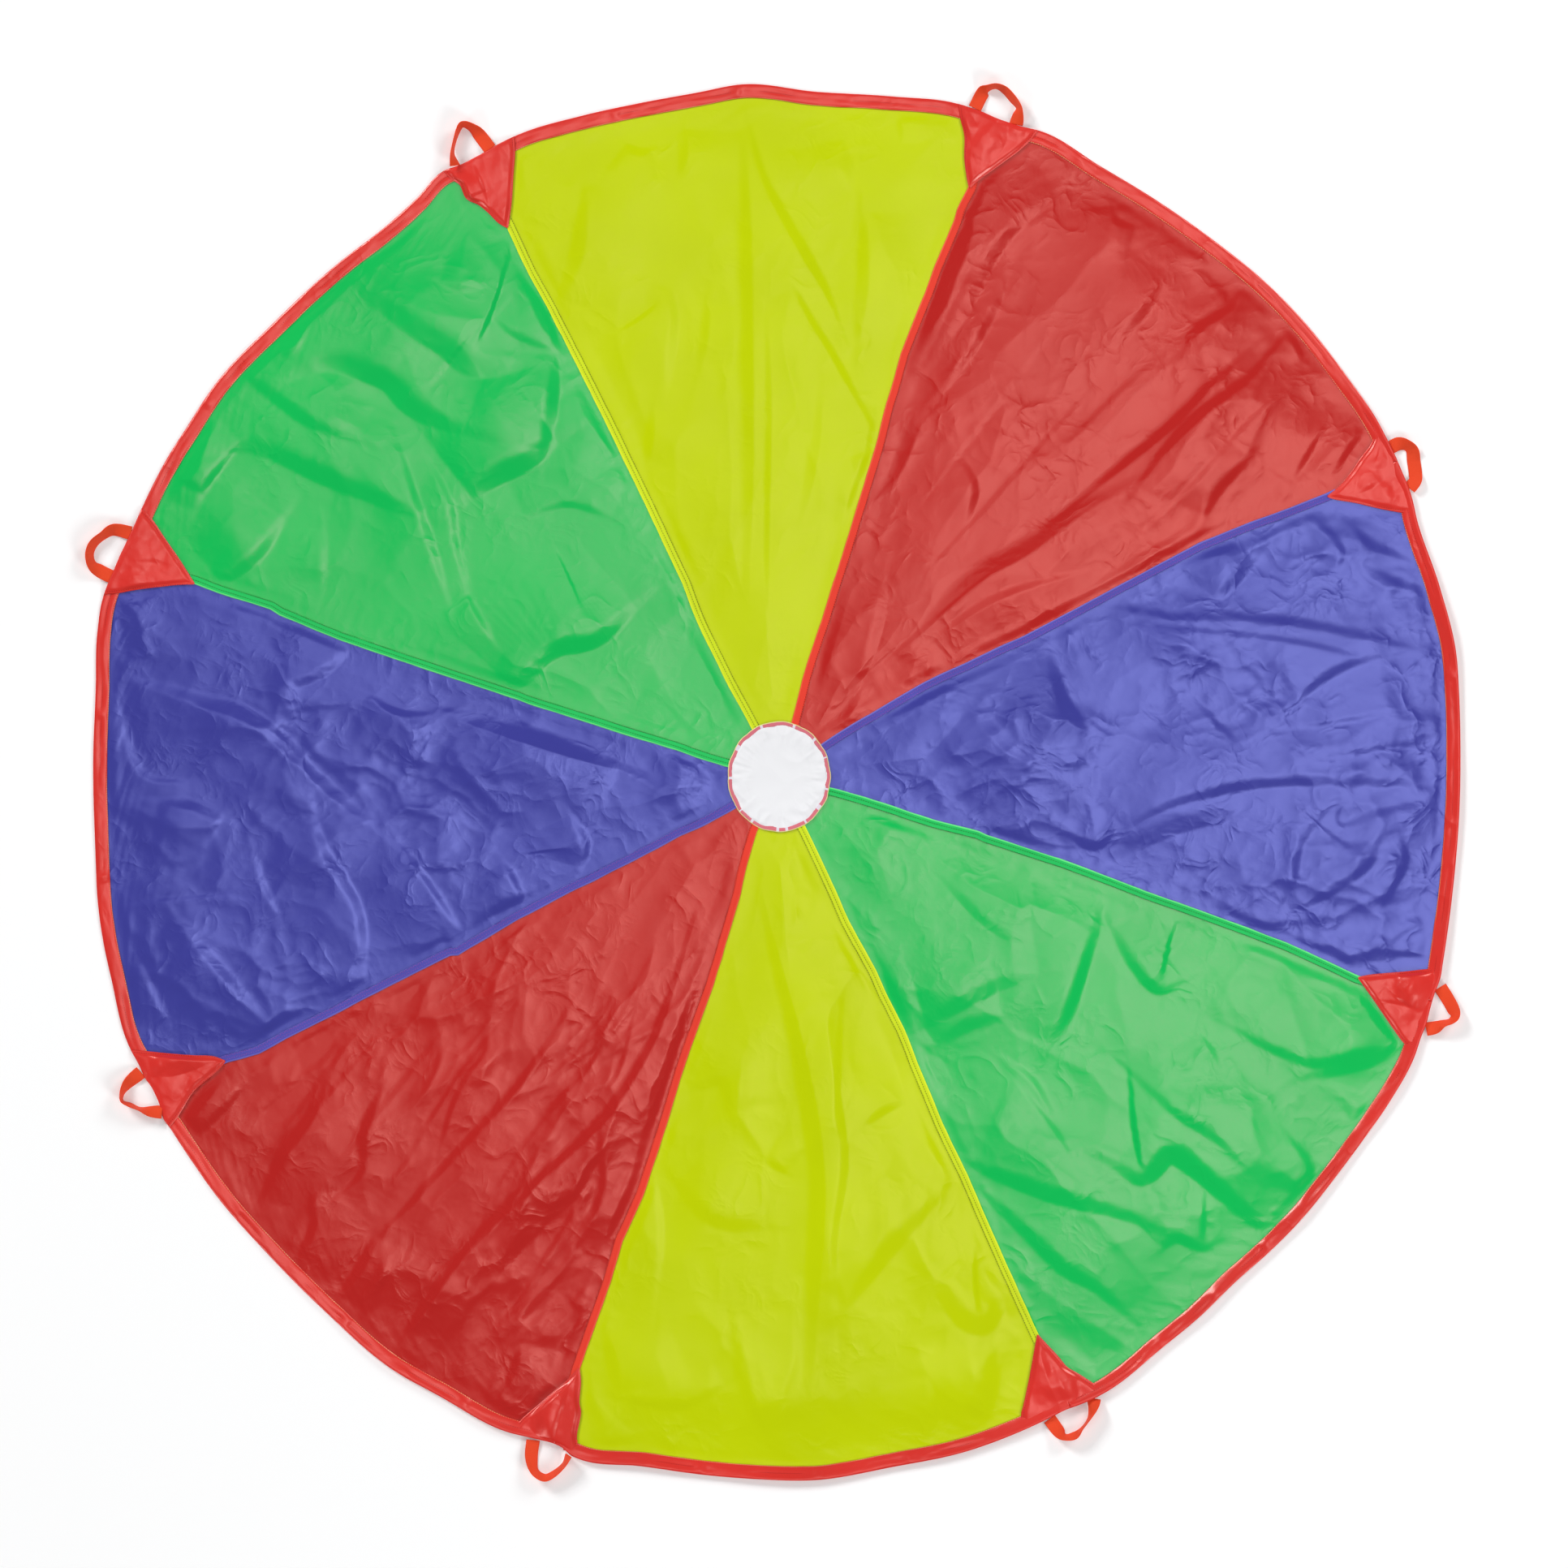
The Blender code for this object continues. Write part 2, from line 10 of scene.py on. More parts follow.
import bpy
import numpy as np
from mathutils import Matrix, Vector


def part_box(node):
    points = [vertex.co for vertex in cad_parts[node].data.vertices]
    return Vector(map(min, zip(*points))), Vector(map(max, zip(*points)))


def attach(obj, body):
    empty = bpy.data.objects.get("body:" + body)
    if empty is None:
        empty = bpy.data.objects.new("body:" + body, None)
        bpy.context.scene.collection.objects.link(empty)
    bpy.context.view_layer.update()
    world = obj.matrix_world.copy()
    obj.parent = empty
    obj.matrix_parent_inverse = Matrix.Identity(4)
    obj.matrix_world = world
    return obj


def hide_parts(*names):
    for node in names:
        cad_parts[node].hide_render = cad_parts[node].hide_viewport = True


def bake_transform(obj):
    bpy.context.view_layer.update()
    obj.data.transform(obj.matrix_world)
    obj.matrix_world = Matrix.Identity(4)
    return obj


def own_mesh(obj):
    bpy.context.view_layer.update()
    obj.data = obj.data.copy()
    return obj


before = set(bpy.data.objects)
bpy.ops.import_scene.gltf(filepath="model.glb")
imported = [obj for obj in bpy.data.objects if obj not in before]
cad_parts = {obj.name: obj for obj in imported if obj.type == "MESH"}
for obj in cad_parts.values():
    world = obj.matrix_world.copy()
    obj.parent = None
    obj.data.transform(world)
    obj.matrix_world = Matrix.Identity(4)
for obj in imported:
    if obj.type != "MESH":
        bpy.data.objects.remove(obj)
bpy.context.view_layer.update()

PIXEL = 2.0 / 1705
PHOTO_VENT = np.array([960.0, 957.0])
PHOTO_CENTRE = np.array([966.0, 966.0])
PHOTO_SIZE = 1932

HEM_WIDTH = 0.020
SEAM_WIDTH = 0.011
VENT_WIDTH = 0.149
VENT_LENGTH = 0.160
WEBBING_WIDTH = 0.0195
WEBBING_THICKNESS = 0.0012
# How far the gores and seams reach in under the vent's binding
UNDER_BINDING = 0.004

# Heights on the floor
CLOTH_HEIGHT = 0.0012
STRIP_HEIGHT = 0.0024
END_HEIGHT = 0.0033
PATCH_EDGE_HEIGHT = 0.0034
PATCH_HEIGHT = 0.0048
RING_HEIGHT = 0.0034

# Radii between which the cloth would bend when the crown is lifted
LIFT_OUTER = 0.86
LIFT_INNER = 0.105
# How much further each gore would rise than its neighbour along their seam, a metre out,
# so that the neighbour's edge would stay under the seam strip
LIFT_LEAN = 0.008
# How much an even rise towards the vent counts beside agreement along the seams
LIFT_SHAPE_WEIGHT = 0.05

# The corners, clockwise from the upper left: the seam's line from the vent outwards, and the patch's
# outer edge, the points of its two sides between that edge and the tip, the tip, and its creases,
# each with its width in pixels, its steepness and its route.
CORNERS = [
    {
        "seam_degrees": 116.3,
        "seam": (
            (903, 853), (860, 766), (842, 719), (803, 636), (751, 528), (723, 472), (676, 380), (653, 339),
            (626, 281),
        ),
        "edge": ((546, 211), (568, 203), (582, 196), (597, 188), (612, 179), (634, 168)),
        "left": (
            (553, 218), (559, 223), (567, 229), (572, 241), (577, 247), (590, 253), (602, 263), (614, 275),
        ),
        "right": ((635, 188), (633, 215), (631, 246), (628, 270)),
        "tip": (626, 282),
        "creases": (
            (24, 0.34, ((568, 208), (578, 226), (594, 250))),
            (5, 0.45, ((583, 199), (590, 219), (597, 238), (603, 262))),
            (5, 0.40, ((576, 242), (590, 238), (604, 232))),
            (10, 0.18, ((616, 180), (622, 200), (620, 225))),
        ),
    },
    {
        "seam_degrees": 72.3,
        "seam": (
            (991, 832), (1013, 766), (1037, 690), (1059, 619), (1079, 554), (1093, 498), (1098, 483),
            (1111, 436), (1141, 361), (1152, 330), (1176, 274), (1180, 258), (1194, 231),
        ),
        "edge": ((1180, 128), (1193, 132), (1210, 138), (1228, 146), (1245, 152), (1258, 156), (1280, 161)),
        "left": ((1183, 146), (1188, 168), (1188, 195), (1191, 220)),
        "right": ((1270, 173), (1256, 186), (1230, 205), (1208, 221)),
        "tip": (1194, 233),
        "creases": (
            (10, 0.26, ((1188, 168), (1197, 161), (1206, 156))),
            (22, 0.22, ((1236, 144), (1228, 172), (1212, 204))),
            (12, 0.14, ((1240, 166), (1252, 168), (1262, 172))),
        ),
    },
    {
        "seam_degrees": 27.1,
        "seam": (
            (1018, 914), (1074, 880), (1140, 841), (1188, 819), (1263, 784), (1331, 748), (1402, 710),
            (1478, 670), (1537, 646), (1589, 627), (1635, 609),
        ),
        "edge": ((1697, 519), (1708, 540), (1717, 558), (1727, 581), (1736, 603), (1741, 620), (1744, 634)),
        "left": ((1690, 545), (1677, 563), (1667, 578), (1656, 592), (1645, 603)),
        "right": ((1727, 632), (1700, 627), (1670, 620), (1646, 616)),
        "tip": (1634, 612),
        "creases": (
            (12, 0.14, ((1684, 566), (1695, 574), (1712, 568))),
            (7, 0.20, ((1672, 607), (1690, 598), (1708, 586))),
            (8, 0.16, ((1712, 590), (1712, 608), (1716, 622))),
        ),
    },
    {
        "seam_degrees": -19.0,
        "seam": (
            (1026, 972), (1080, 988), (1125, 1003), (1150, 1011), (1205, 1025), (1216, 1030), (1305, 1059),
            (1411, 1099), (1504, 1132), (1520, 1138), (1584, 1162), (1672, 1203),
        ),
        "edge": (
            (1777, 1187), (1774, 1205), (1767, 1224), (1761, 1245), (1757, 1261), (1750, 1279),
            (1743, 1300),
        ),
        "left": ((1762, 1193), (1747, 1195), (1730, 1197), (1705, 1199), (1686, 1201)),
        "right": ((1729, 1285), (1718, 1270), (1705, 1251), (1690, 1229)),
        "tip": (1672, 1204),
        "creases": (
            (30, 0.34, ((1738, 1246), (1754, 1222), (1770, 1200))),
            (5, 0.42, ((1700, 1232), (1720, 1235), (1742, 1241))),
            (5, 0.30, ((1717, 1227), (1729, 1234), (1742, 1240))),
            (8, 0.16, ((1741, 1200), (1741, 1218), (1744, 1236))),
        ),
    },
    {
        "seam_degrees": -65.2,
        "seam": (
            (993, 1022), (1030, 1101), (1045, 1135), (1078, 1195), (1090, 1222), (1113, 1268), (1130, 1311),
            (1161, 1386), (1191, 1448), (1217, 1508), (1240, 1560), (1278, 1643),
        ),
        "edge": (
            (1362, 1715), (1349, 1722), (1331, 1730), (1312, 1737), (1300, 1743), (1284, 1751),
            (1260, 1762),
        ),
        "left": ((1347, 1704), (1330, 1693), (1315, 1684), (1304, 1671), (1291, 1657)),
        "right": ((1258, 1743), (1261, 1730), (1268, 1697), (1274, 1664)),
        "tip": (1278, 1643),
        "creases": (
            (10, 0.36, ((1281, 1652), (1288, 1673), (1297, 1700), (1305, 1722), (1313, 1736))),
            (22, 0.14, ((1304, 1680), (1318, 1698), (1326, 1722))),
            (8, 0.18, ((1322, 1700), (1324, 1716), (1330, 1726))),
        ),
    },
    {
        "seam_degrees": -108.6,
        "seam": (
            (932, 1024), (912, 1100), (901, 1137), (889, 1178), (878, 1213), (857, 1272), (844, 1308),
            (824, 1374), (812, 1412), (792, 1472), (766, 1529), (751, 1580), (733, 1630), (714, 1684),
        ),
        "edge": ((713, 1797), (704, 1793), (694, 1784), (682, 1778), (667, 1774), (650, 1770), (629, 1765)),
        "left": ((713, 1784), (711, 1769), (716, 1741), (714, 1727), (716, 1702)),
        "right": ((643, 1748), (664, 1730), (681, 1715), (698, 1701)),
        "tip": (714, 1684),
        "creases": (
            (34, 0.36, ((703, 1700), (700, 1722), (696, 1750), (700, 1790))),
            (6, 0.40, ((690, 1735), (685, 1752), (681, 1775))),
            (7, 0.25, ((700, 1702), (694, 1724), (690, 1742))),
        ),
    },
    {
        "seam_degrees": -152.9,
        "seam": (
            (906, 995), (838, 1029), (770, 1065), (699, 1100), (640, 1131), (564, 1176), (555, 1176),
            (477, 1215), (408, 1251), (352, 1279), (320, 1297), (279, 1308),
        ),
        "edge": ((209, 1389), (201, 1377), (197, 1361), (188, 1341), (179, 1328), (171, 1311), (161, 1293)),
        "left": ((218, 1378), (225, 1367), (238, 1346), (252, 1333), (268, 1320)),
        "right": ((181, 1295), (211, 1298), (237, 1300), (262, 1301)),
        "tip": (279, 1307),
        "creases": (
            (22, 0.36, ((258, 1304), (232, 1309), (209, 1315), (184, 1322))),
            (12, 0.16, ((232, 1324), (220, 1340), (214, 1358))),
            (8, 0.16, ((196, 1298), (196, 1312), (202, 1322))),
        ),
    },
    {
        "seam_degrees": 161.8,
        "seam": (
            (893, 943), (833, 923), (770, 904), (733, 892), (650, 866), (638, 861), (535, 827), (478, 808),
            (417, 787), (345, 757), (334, 750), (270, 730), (242, 719),
        ),
        "edge": ((128, 733), (133, 720), (140, 704), (148, 685), (157, 666), (165, 649), (175, 626)),
        "left": ((147, 731), (162, 728), (182, 725), (200, 723), (218, 721)),
        "right": ((188, 640), (204, 664), (222, 690)),
        "tip": (241, 720),
        "creases": (
            (12, 0.20, ((164, 696), (172, 708), (184, 718))),
            (14, 0.12, ((178, 660), (176, 682), (190, 694))),
            (6, 0.20, ((168, 691), (186, 690), (204, 694))),
        ),
    },
]

# Each handle's way from its counter-clockwise foot to the other one: x and y, and how far the
# webbing is turned up on its edge there, in degrees.
HANDLES = (
    (
        (561, 205, 42), (558, 190, 76), (561, 173, 80), (567, 157, 72), (573, 154, 66), (583, 159, 50),
        (592, 168, 14), (604, 184, 0),
    ),
    (
        (1201, 134, 0), (1210, 116, 6), (1216, 110, 62), (1227, 107, 72), (1238, 112, 62), (1248, 123, 60),
        (1255, 133, 68), (1254, 143, 36), (1252, 154, 0),
    ),
    (
        (1714, 551, 0), (1723, 547, 10), (1733, 549, 40), (1740, 556, 24), (1742, 569, 0), (1744, 584, 0),
        (1743, 593, 20), (1736, 602, 10),
    ),
    (
        (1774, 1216, 10), (1783, 1230, 16), (1790, 1243, 24), (1792, 1252, 52), (1787, 1258, 68),
        (1777, 1261, 60), (1767, 1266, 20), (1757, 1268, 0),
    ),
    (
        (1348, 1723, 0), (1346, 1735, 50), (1341, 1748, 82), (1333, 1759, 84), (1324, 1768, 62),
        (1312, 1770, 66), (1304, 1763, 22), (1293, 1748, 0),
    ),
    (
        (701, 1792, 60), (695, 1804, 72), (683, 1815, 66), (671, 1820, 62), (659, 1812, 56),
        (655, 1794, 20), (657, 1774, 0),
    ),
    (
        (200, 1370, 12), (186, 1369, 40), (173, 1366, 78), (161, 1361, 76), (151, 1356, 84),
        (152, 1345, 70), (160, 1333, 34), (174, 1321, 0),
    ),
    (
        (138, 711, 0), (124, 704, 10), (114, 696, 48), (111, 683, 56), (116, 670, 54), (128, 660, 56),
        (141, 653, 30), (162, 657, 0),
    ),
)

# The gores, clockwise, each between its own corner and the next one, with the points of its rim
# between the two patches. The grain is the direction of its crumple in degrees, the stretch how much
# longer that is along the grain, and crinkle its size, its tilt and the tilt of its finer part.
GORES = [
    {
        "name": "yellow_north",
        "swell": 0.0028,
        "grain": 88,
        "stretch": 2.2,
        "crinkle": (0.080, 0.030, 0.014),
        "rim": ((720, 142), (784, 128), (860, 114), (915, 104), (1004, 113), (1100, 119)),
    },
    {
        "name": "red_northeast",
        "swell": 0.0026,
        "grain": 48,
        "stretch": 1.8,
        "crinkle": (0.070, 0.045, 0.022),
        "rim": ((1356, 205), (1422, 245), (1495, 296), (1558, 347), (1607, 397), (1660, 465)),
    },
    {
        "name": "blue_east",
        "swell": 0.0024,
        "grain": 4,
        "stretch": 1.3,
        "crinkle": (0.055, 0.044, 0.038),
        "rim": ((1773, 722), (1794, 808), (1797, 850), (1799, 940), (1797, 1010), (1788, 1110)),
    },
    {
        "name": "green_southeast",
        "swell": 0.0022,
        "grain": -35,
        "stretch": 1.3,
        "crinkle": (0.085, 0.036, 0.018),
        "rim": (
            (1712, 1357), (1678, 1406), (1643, 1453), (1606, 1499), (1565, 1541), (1521, 1580),
            (1479, 1621), (1432, 1660),
        ),
    },
    {
        "name": "yellow_south",
        "swell": 0.0056,
        "grain": 92,
        "stretch": 1.6,
        "crinkle": (0.070, 0.044, 0.022),
        "rim": ((1190, 1788), (1100, 1807), (1005, 1823), (935, 1822), (870, 1817), (790, 1806)),
    },
    {
        "name": "red_southwest",
        "swell": 0.0010,
        "grain": 55,
        "stretch": 2.0,
        "crinkle": (0.042, 0.072, 0.048),
        "rim": ((540, 1719), (485, 1688), (400, 1615), (330, 1545), (268, 1475), (234, 1427)),
    },
    {
        "name": "blue_west",
        "swell": 0.0022,
        "grain": -8,
        "stretch": 1.2,
        "crinkle": (0.052, 0.056, 0.040),
        "rim": ((137, 1205), (128, 1164), (120, 1105), (118, 1060), (115, 930), (118, 850), (120, 780)),
    },
    {
        "name": "green_northwest",
        "swell": 0.0006,
        "grain": -40,
        "stretch": 1.3,
        "crinkle": (0.090, 0.026, 0.012),
        "rim": ((210, 558), (226, 533), (268, 470), (335, 400), (410, 330), (480, 275), (515, 243)),
    },
]

# The folds of each gore: width in pixels, steepness and the route of the shaded slope
FOLDS = {
    "yellow_north": (
        (20, 0.20, ((908, 122), (914, 200), (916, 300), (917, 420), (919, 560), (918, 720))),
        (9, 0.20, ((944, 390), (946, 500), (944, 620), (944, 740))),
        (12, 0.34, ((920, 140), (942, 216), (976, 281), (1020, 359), (1044, 420))),
        (10, 0.26, ((974, 345), (1000, 392), (1028, 437), (1080, 532))),
        (18, 0.18, ((1059, 255), (1061, 333), (1054, 425))),
        (20, 0.18, ((722, 218), (708, 315), (684, 372))),
        (14, 0.14, ((842, 155), (840, 190), (834, 222))),
        (18, 0.12, ((1036, 170), (1048, 240))),
        (16, 0.12, ((794, 350), (828, 376), (820, 485))),
        (8, 0.20, ((1106, 130), (1109, 180))),
        (10, 0.18, ((768, 175), (786, 186), (806, 184))),
        (14, 0.12, ((803, 500), (794, 572))),
        (14, 0.14, ((870, 370), (866, 410), (862, 450))),
        (8, 0.20, ((1046, 566), (1062, 560), (1076, 548))),
        (16, 0.10, ((985, 640), (1000, 560), (1010, 480))),
    ),
    "red_northeast": (
        (15, 0.34, ((1592, 400), (1537, 463), (1475, 510), (1433, 553), (1392, 610))),
        (14, 0.34, ((1553, 419), (1490, 473), (1433, 529), (1357, 591), (1300, 640))),
        (24, 0.26, ((1395, 591), (1329, 624), (1263, 671), (1206, 704), (1159, 746), (1120, 790))),
        (12, 0.24, ((1330, 704), (1258, 723), (1206, 746), (1140, 792))),
        (20, 0.22, ((1312, 222), (1244, 284), (1216, 322), (1188, 378), (1146, 450))),
        (14, 0.24, ((1246, 318), (1225, 378), (1188, 444), (1142, 506))),
        (8, 0.30, ((1370, 250), (1376, 272), (1402, 280))),
        (14, 0.24, ((1534, 350), (1513, 378), (1471, 406), (1448, 450))),
        (9, 0.30, ((1690, 527), (1662, 557), (1638, 600))),
        (9, 0.26, ((1642, 508), (1612, 557), (1590, 596))),
        (16, 0.16, ((1090, 712), (1079, 775), (1058, 842))),
        (16, 0.16, ((1440, 330), (1410, 380), (1370, 430))),
        (16, 0.14, ((1540, 560), (1500, 600), (1480, 640))),
        (12, 0.16, ((1180, 560), (1200, 600), (1190, 650))),
        (12, 0.18, ((1060, 850), (1040, 880), (1012, 900))),
        (8, 0.24, ((1582, 402), (1600, 424), (1604, 450))),
        (9, 0.12, ((1613, 451), (1547, 509), (1473, 591), (1400, 660))),
        (8, 0.08, ((1145, 700), (1218, 620), (1284, 545), (1350, 470))),
        (8, 0.06, ((1120, 640), (1180, 560), (1250, 470), (1300, 400))),
        (10, 0.08, ((1480, 640), (1400, 690), (1330, 730))),
        (7, 0.12, ((1300, 560), (1380, 480), (1440, 430))),
        (9, 0.12, ((1230, 260), (1180, 350), (1140, 440))),
        (10, 0.14, ((1490, 345), (1510, 372), (1500, 410))),
        (8, 0.08, ((1050, 850), (1130, 780), (1240, 690))),
    ),
    "blue_east": (
        (13, 0.14, ((1352, 742), (1445, 758), (1530, 758), (1631, 771), (1766, 805))),
        (9, 0.12, ((1400, 770), (1500, 778), (1600, 790), (1700, 815))),
        (16, 0.16, ((1369, 1033), (1420, 999), (1479, 978), (1580, 961), (1775, 965))),
        (30, 0.05, ((1380, 1050), (1430, 1020), (1480, 1004), (1540, 1000))),
        (22, 0.14, ((1293, 788), (1305, 837), (1325, 880), (1365, 905))),
        (40, 0.04, ((1284, 800), (1296, 860), (1330, 930), (1340, 1010))),
        (14, 0.14, ((1576, 884), (1626, 837), (1668, 815), (1720, 806))),
        (20, 0.18, ((1496, 742), (1520, 712), (1547, 687))),
        (12, 0.16, ((1624, 645), (1651, 677), (1646, 706))),
        (11, 0.14, ((1660, 640), (1690, 670), (1740, 690))),
        (11, 0.12, ((1690, 700), (1730, 720), (1770, 730))),
        (14, 0.16, ((1699, 1033), (1682, 1067), (1631, 1100), (1580, 1134))),
        (9, 0.14, ((1586, 897), (1655, 887), (1746, 869))),
        (10, 0.12, ((1640, 930), (1700, 920), (1770, 915))),
        (10, 0.14, ((1651, 980), (1652, 1015), (1700, 1000), (1772, 985))),
        (22, 0.08, ((1240, 840), (1215, 880), (1250, 920), (1316, 955))),
        (30, 0.05, ((1200, 850), (1160, 890), (1120, 930), (1080, 960))),
        (14, 0.12, ((1380, 1010), (1350, 1040), (1320, 1030))),
        (14, 0.12, ((1560, 1140), (1590, 1090), (1600, 1040), (1640, 990))),
        (10, 0.14, ((1700, 1120), (1730, 1060), (1720, 1020))),
        (10, 0.10, ((1460, 850), (1500, 890), (1530, 920))),
    ),
    "green_southeast": (
        (14, 0.14, ((1340, 1170), (1324, 1230), (1304, 1292))),
        (18, 0.20, ((1360, 1092), (1346, 1150), (1322, 1220), (1290, 1296))),
        (16, 0.22, ((1368, 1136), (1400, 1190), (1428, 1218), (1464, 1206))),
        (24, 0.12, ((1140, 1262), (1184, 1232), (1230, 1210), (1290, 1196))),
        (20, 0.08, ((1150, 1290), (1190, 1262), (1240, 1250))),
        (12, 0.12, ((1233, 1300), (1277, 1332), (1304, 1384))),
        (14, 0.16, ((1380, 1308), (1444, 1364), (1500, 1404), (1536, 1440))),
        (22, 0.24, ((1188, 1430), (1276, 1462), (1350, 1484), (1400, 1500), (1438, 1518))),
        (26, 0.30, ((1364, 1428), (1408, 1450), (1440, 1420), (1475, 1438), (1510, 1468), (1568, 1522))),
        (18, 0.18, ((1206, 1464), (1268, 1518), (1310, 1560), (1353, 1585), (1398, 1627))),
        (14, 0.12, ((1508, 1260), (1572, 1292), (1620, 1308), (1680, 1296))),
        (30, 0.10, ((1612, 1322), (1660, 1306), (1724, 1290))),
        (10, 0.16, ((1680, 1233), (1726, 1290))),
        (14, 0.08, ((1160, 1080), (1226, 1143), (1270, 1160))),
        (14, 0.10, ((1112, 1184), (1125, 1236), (1140, 1272))),
        (12, 0.18, ((1430, 1540), (1450, 1524), (1480, 1536), (1500, 1530))),
        (8, 0.10, ((1476, 1268), (1496, 1296), (1508, 1320))),
        (8, 0.08, ((1250, 1330), (1300, 1390), (1330, 1440))),
        (10, 0.16, ((1690, 1350), (1680, 1370), (1664, 1384))),
        (12, 0.12, ((1586, 1396), (1612, 1430), (1616, 1470))),
    ),
    "yellow_south": (
        (22, 0.26, ((938, 1120), (961, 1213), (987, 1326), (1004, 1447), (1000, 1577), (990, 1760))),
        (13, 0.20, ((1036, 1240), (1030, 1343), (1039, 1430), (1026, 1534), (1030, 1668))),
        (15, 0.18, ((844, 1346), (890, 1330), (902, 1374))),
        (11, 0.18, ((800, 1426), (813, 1516), (804, 1625))),
        (22, 0.14, ((1036, 1616), (1082, 1551), (1164, 1460))),
        (30, 0.14, ((1148, 1572), (1204, 1629), (1242, 1586))),
        (18, 0.16, ((898, 1612), (918, 1716), (946, 1780))),
        (20, 0.16, ((1221, 1658), (1216, 1756))),
        (14, 0.18, ((744, 1640), (762, 1722))),
        (12, 0.16, ((1062, 1388), (1090, 1366), (1120, 1356))),
        (20, 0.10, ((830, 1450), (880, 1500), (950, 1510))),
        (14, 0.14, ((1140, 1690), (1150, 1740), (1140, 1780))),
        (14, 0.14, ((760, 1720), (840, 1730), (900, 1700))),
        (8, 0.20, ((942, 1426), (958, 1436), (972, 1446))),
        (12, 0.12, ((900, 1205), (870, 1220), (862, 1240))),
    ),
    "red_southwest": (
        (14, 0.36, (
            (852, 1136), (824, 1223), (798, 1288), (742, 1375), (660, 1453), (573, 1540), (521, 1609),
            (484, 1664),
        )),
        (26, 0.12, ((736, 1445), (660, 1505), (590, 1583), (540, 1662))),
        (13, 0.32, ((738, 1396), (738, 1470), (700, 1540))),
        (16, 0.28, ((410, 1310), (373, 1384), (343, 1427), (319, 1484))),
        (13, 0.28, ((471, 1336), (447, 1392), (443, 1444), (414, 1474))),
        (12, 0.28, ((382, 1466), (383, 1514), (363, 1552))),
        (15, 0.32, ((462, 1518), (443, 1557), (414, 1600))),
        (12, 0.24, ((700, 1240), (650, 1320), (560, 1420), (470, 1520))),
        (10, 0.24, ((600, 1290), (560, 1350), (540, 1420))),
        (10, 0.30, ((700, 1600), (716, 1620), (700, 1650))),
        (12, 0.26, ((640, 1650), (630, 1690), (616, 1720))),
        (8, 0.24, ((780, 1250), (760, 1320), (730, 1360))),
        (12, 0.22, ((300, 1340), (260, 1380), (240, 1400))),
        (9, 0.28, ((560, 1560), (530, 1600), (500, 1640))),
        (8, 0.12, ((800, 1180), (740, 1290), (660, 1390), (600, 1480))),
        (8, 0.10, ((640, 1230), (560, 1330), (500, 1430), (450, 1500))),
        (9, 0.10, ((560, 1250), (480, 1350), (420, 1430))),
        (8, 0.12, ((760, 1400), (700, 1500), (640, 1600), (600, 1660))),
        (7, 0.10, ((480, 1260), (410, 1340), (350, 1420))),
    ),
    "blue_west": (
        (22, 0.24, ((140, 826), (236, 856), (312, 882), (363, 926), (430, 989), (490, 1040))),
        (18, 0.22, ((190, 984), (236, 989), (280, 1008))),
        (24, 0.30, ((548, 874), (615, 893), (670, 909), (776, 946))),
        (18, 0.28, ((384, 990), (396, 1044), (421, 1086), (442, 1128), (449, 1200))),
        (20, 0.24, ((214, 1120), (249, 1162), (295, 1217), (340, 1264))),
        (10, 0.22, ((452, 853), (489, 876), (534, 878))),
        (12, 0.24, ((498, 1040), (535, 1095), (572, 1150))),
        (9, 0.26, ((142, 1117), (210, 1106), (270, 1103), (310, 1108))),
        (12, 0.24, ((147, 872), (177, 951), (242, 962))),
        (10, 0.24, ((311, 1040), (329, 1095), (347, 1132))),
        (16, 0.20, ((434, 796), (405, 821), (356, 848))),
        (12, 0.24, ((620, 1058), (636, 1084), (648, 1114))),
        (14, 0.24, ((700, 1000), (720, 1040), (716, 1072))),
        (10, 0.24, ((170, 1180), (190, 1220), (210, 1262))),
    ),
    "green_northwest": (
        (36, 0.27, ((432, 340), (464, 365), (503, 391), (550, 421), (585, 448), (655, 444))),
        (31, 0.27, ((340, 474), (372, 452), (412, 442), (455, 456), (484, 470), (516, 504), (586, 532))),
        (18, 0.25, ((296, 456), (346, 492), (385, 519), (452, 546))),
        (27, 0.25, ((262, 553), (290, 549), (325, 550), (355, 562), (403, 584), (455, 606), (520, 634))),
        (14, 0.28, ((238, 634), (252, 600), (276, 566), (300, 540))),
        (14, 0.26, ((486, 536), (511, 616), (529, 668), (552, 740))),
        (12, 0.22, ((522, 556), (553, 620), (562, 677), (580, 740))),
        (22, 0.34, ((682, 430), (678, 490), (668, 560))),
        (34, 0.34, ((690, 536), (650, 562), (614, 580), (572, 612))),
        (26, 0.32, ((790, 738), (737, 783), (680, 800), (626, 856))),
        (12, 0.24, ((608, 392), (637, 412), (684, 432))),
        (12, 0.20, ((540, 346), (568, 354), (602, 351))),
        (20, 0.30, ((352, 632), (316, 682), (266, 722))),
        (10, 0.16, ((399, 647), (398, 722))),
        (10, 0.22, ((378, 391), (369, 420), (356, 446))),
        (10, 0.24, ((574, 730), (594, 764), (610, 792))),
        (18, 0.16, ((709, 474), (732, 512), (770, 568))),
        (12, 0.22, ((214, 584), (234, 594), (252, 608))),
        (12, 0.16, ((640, 640), (700, 620), (760, 640))),
    ),
}

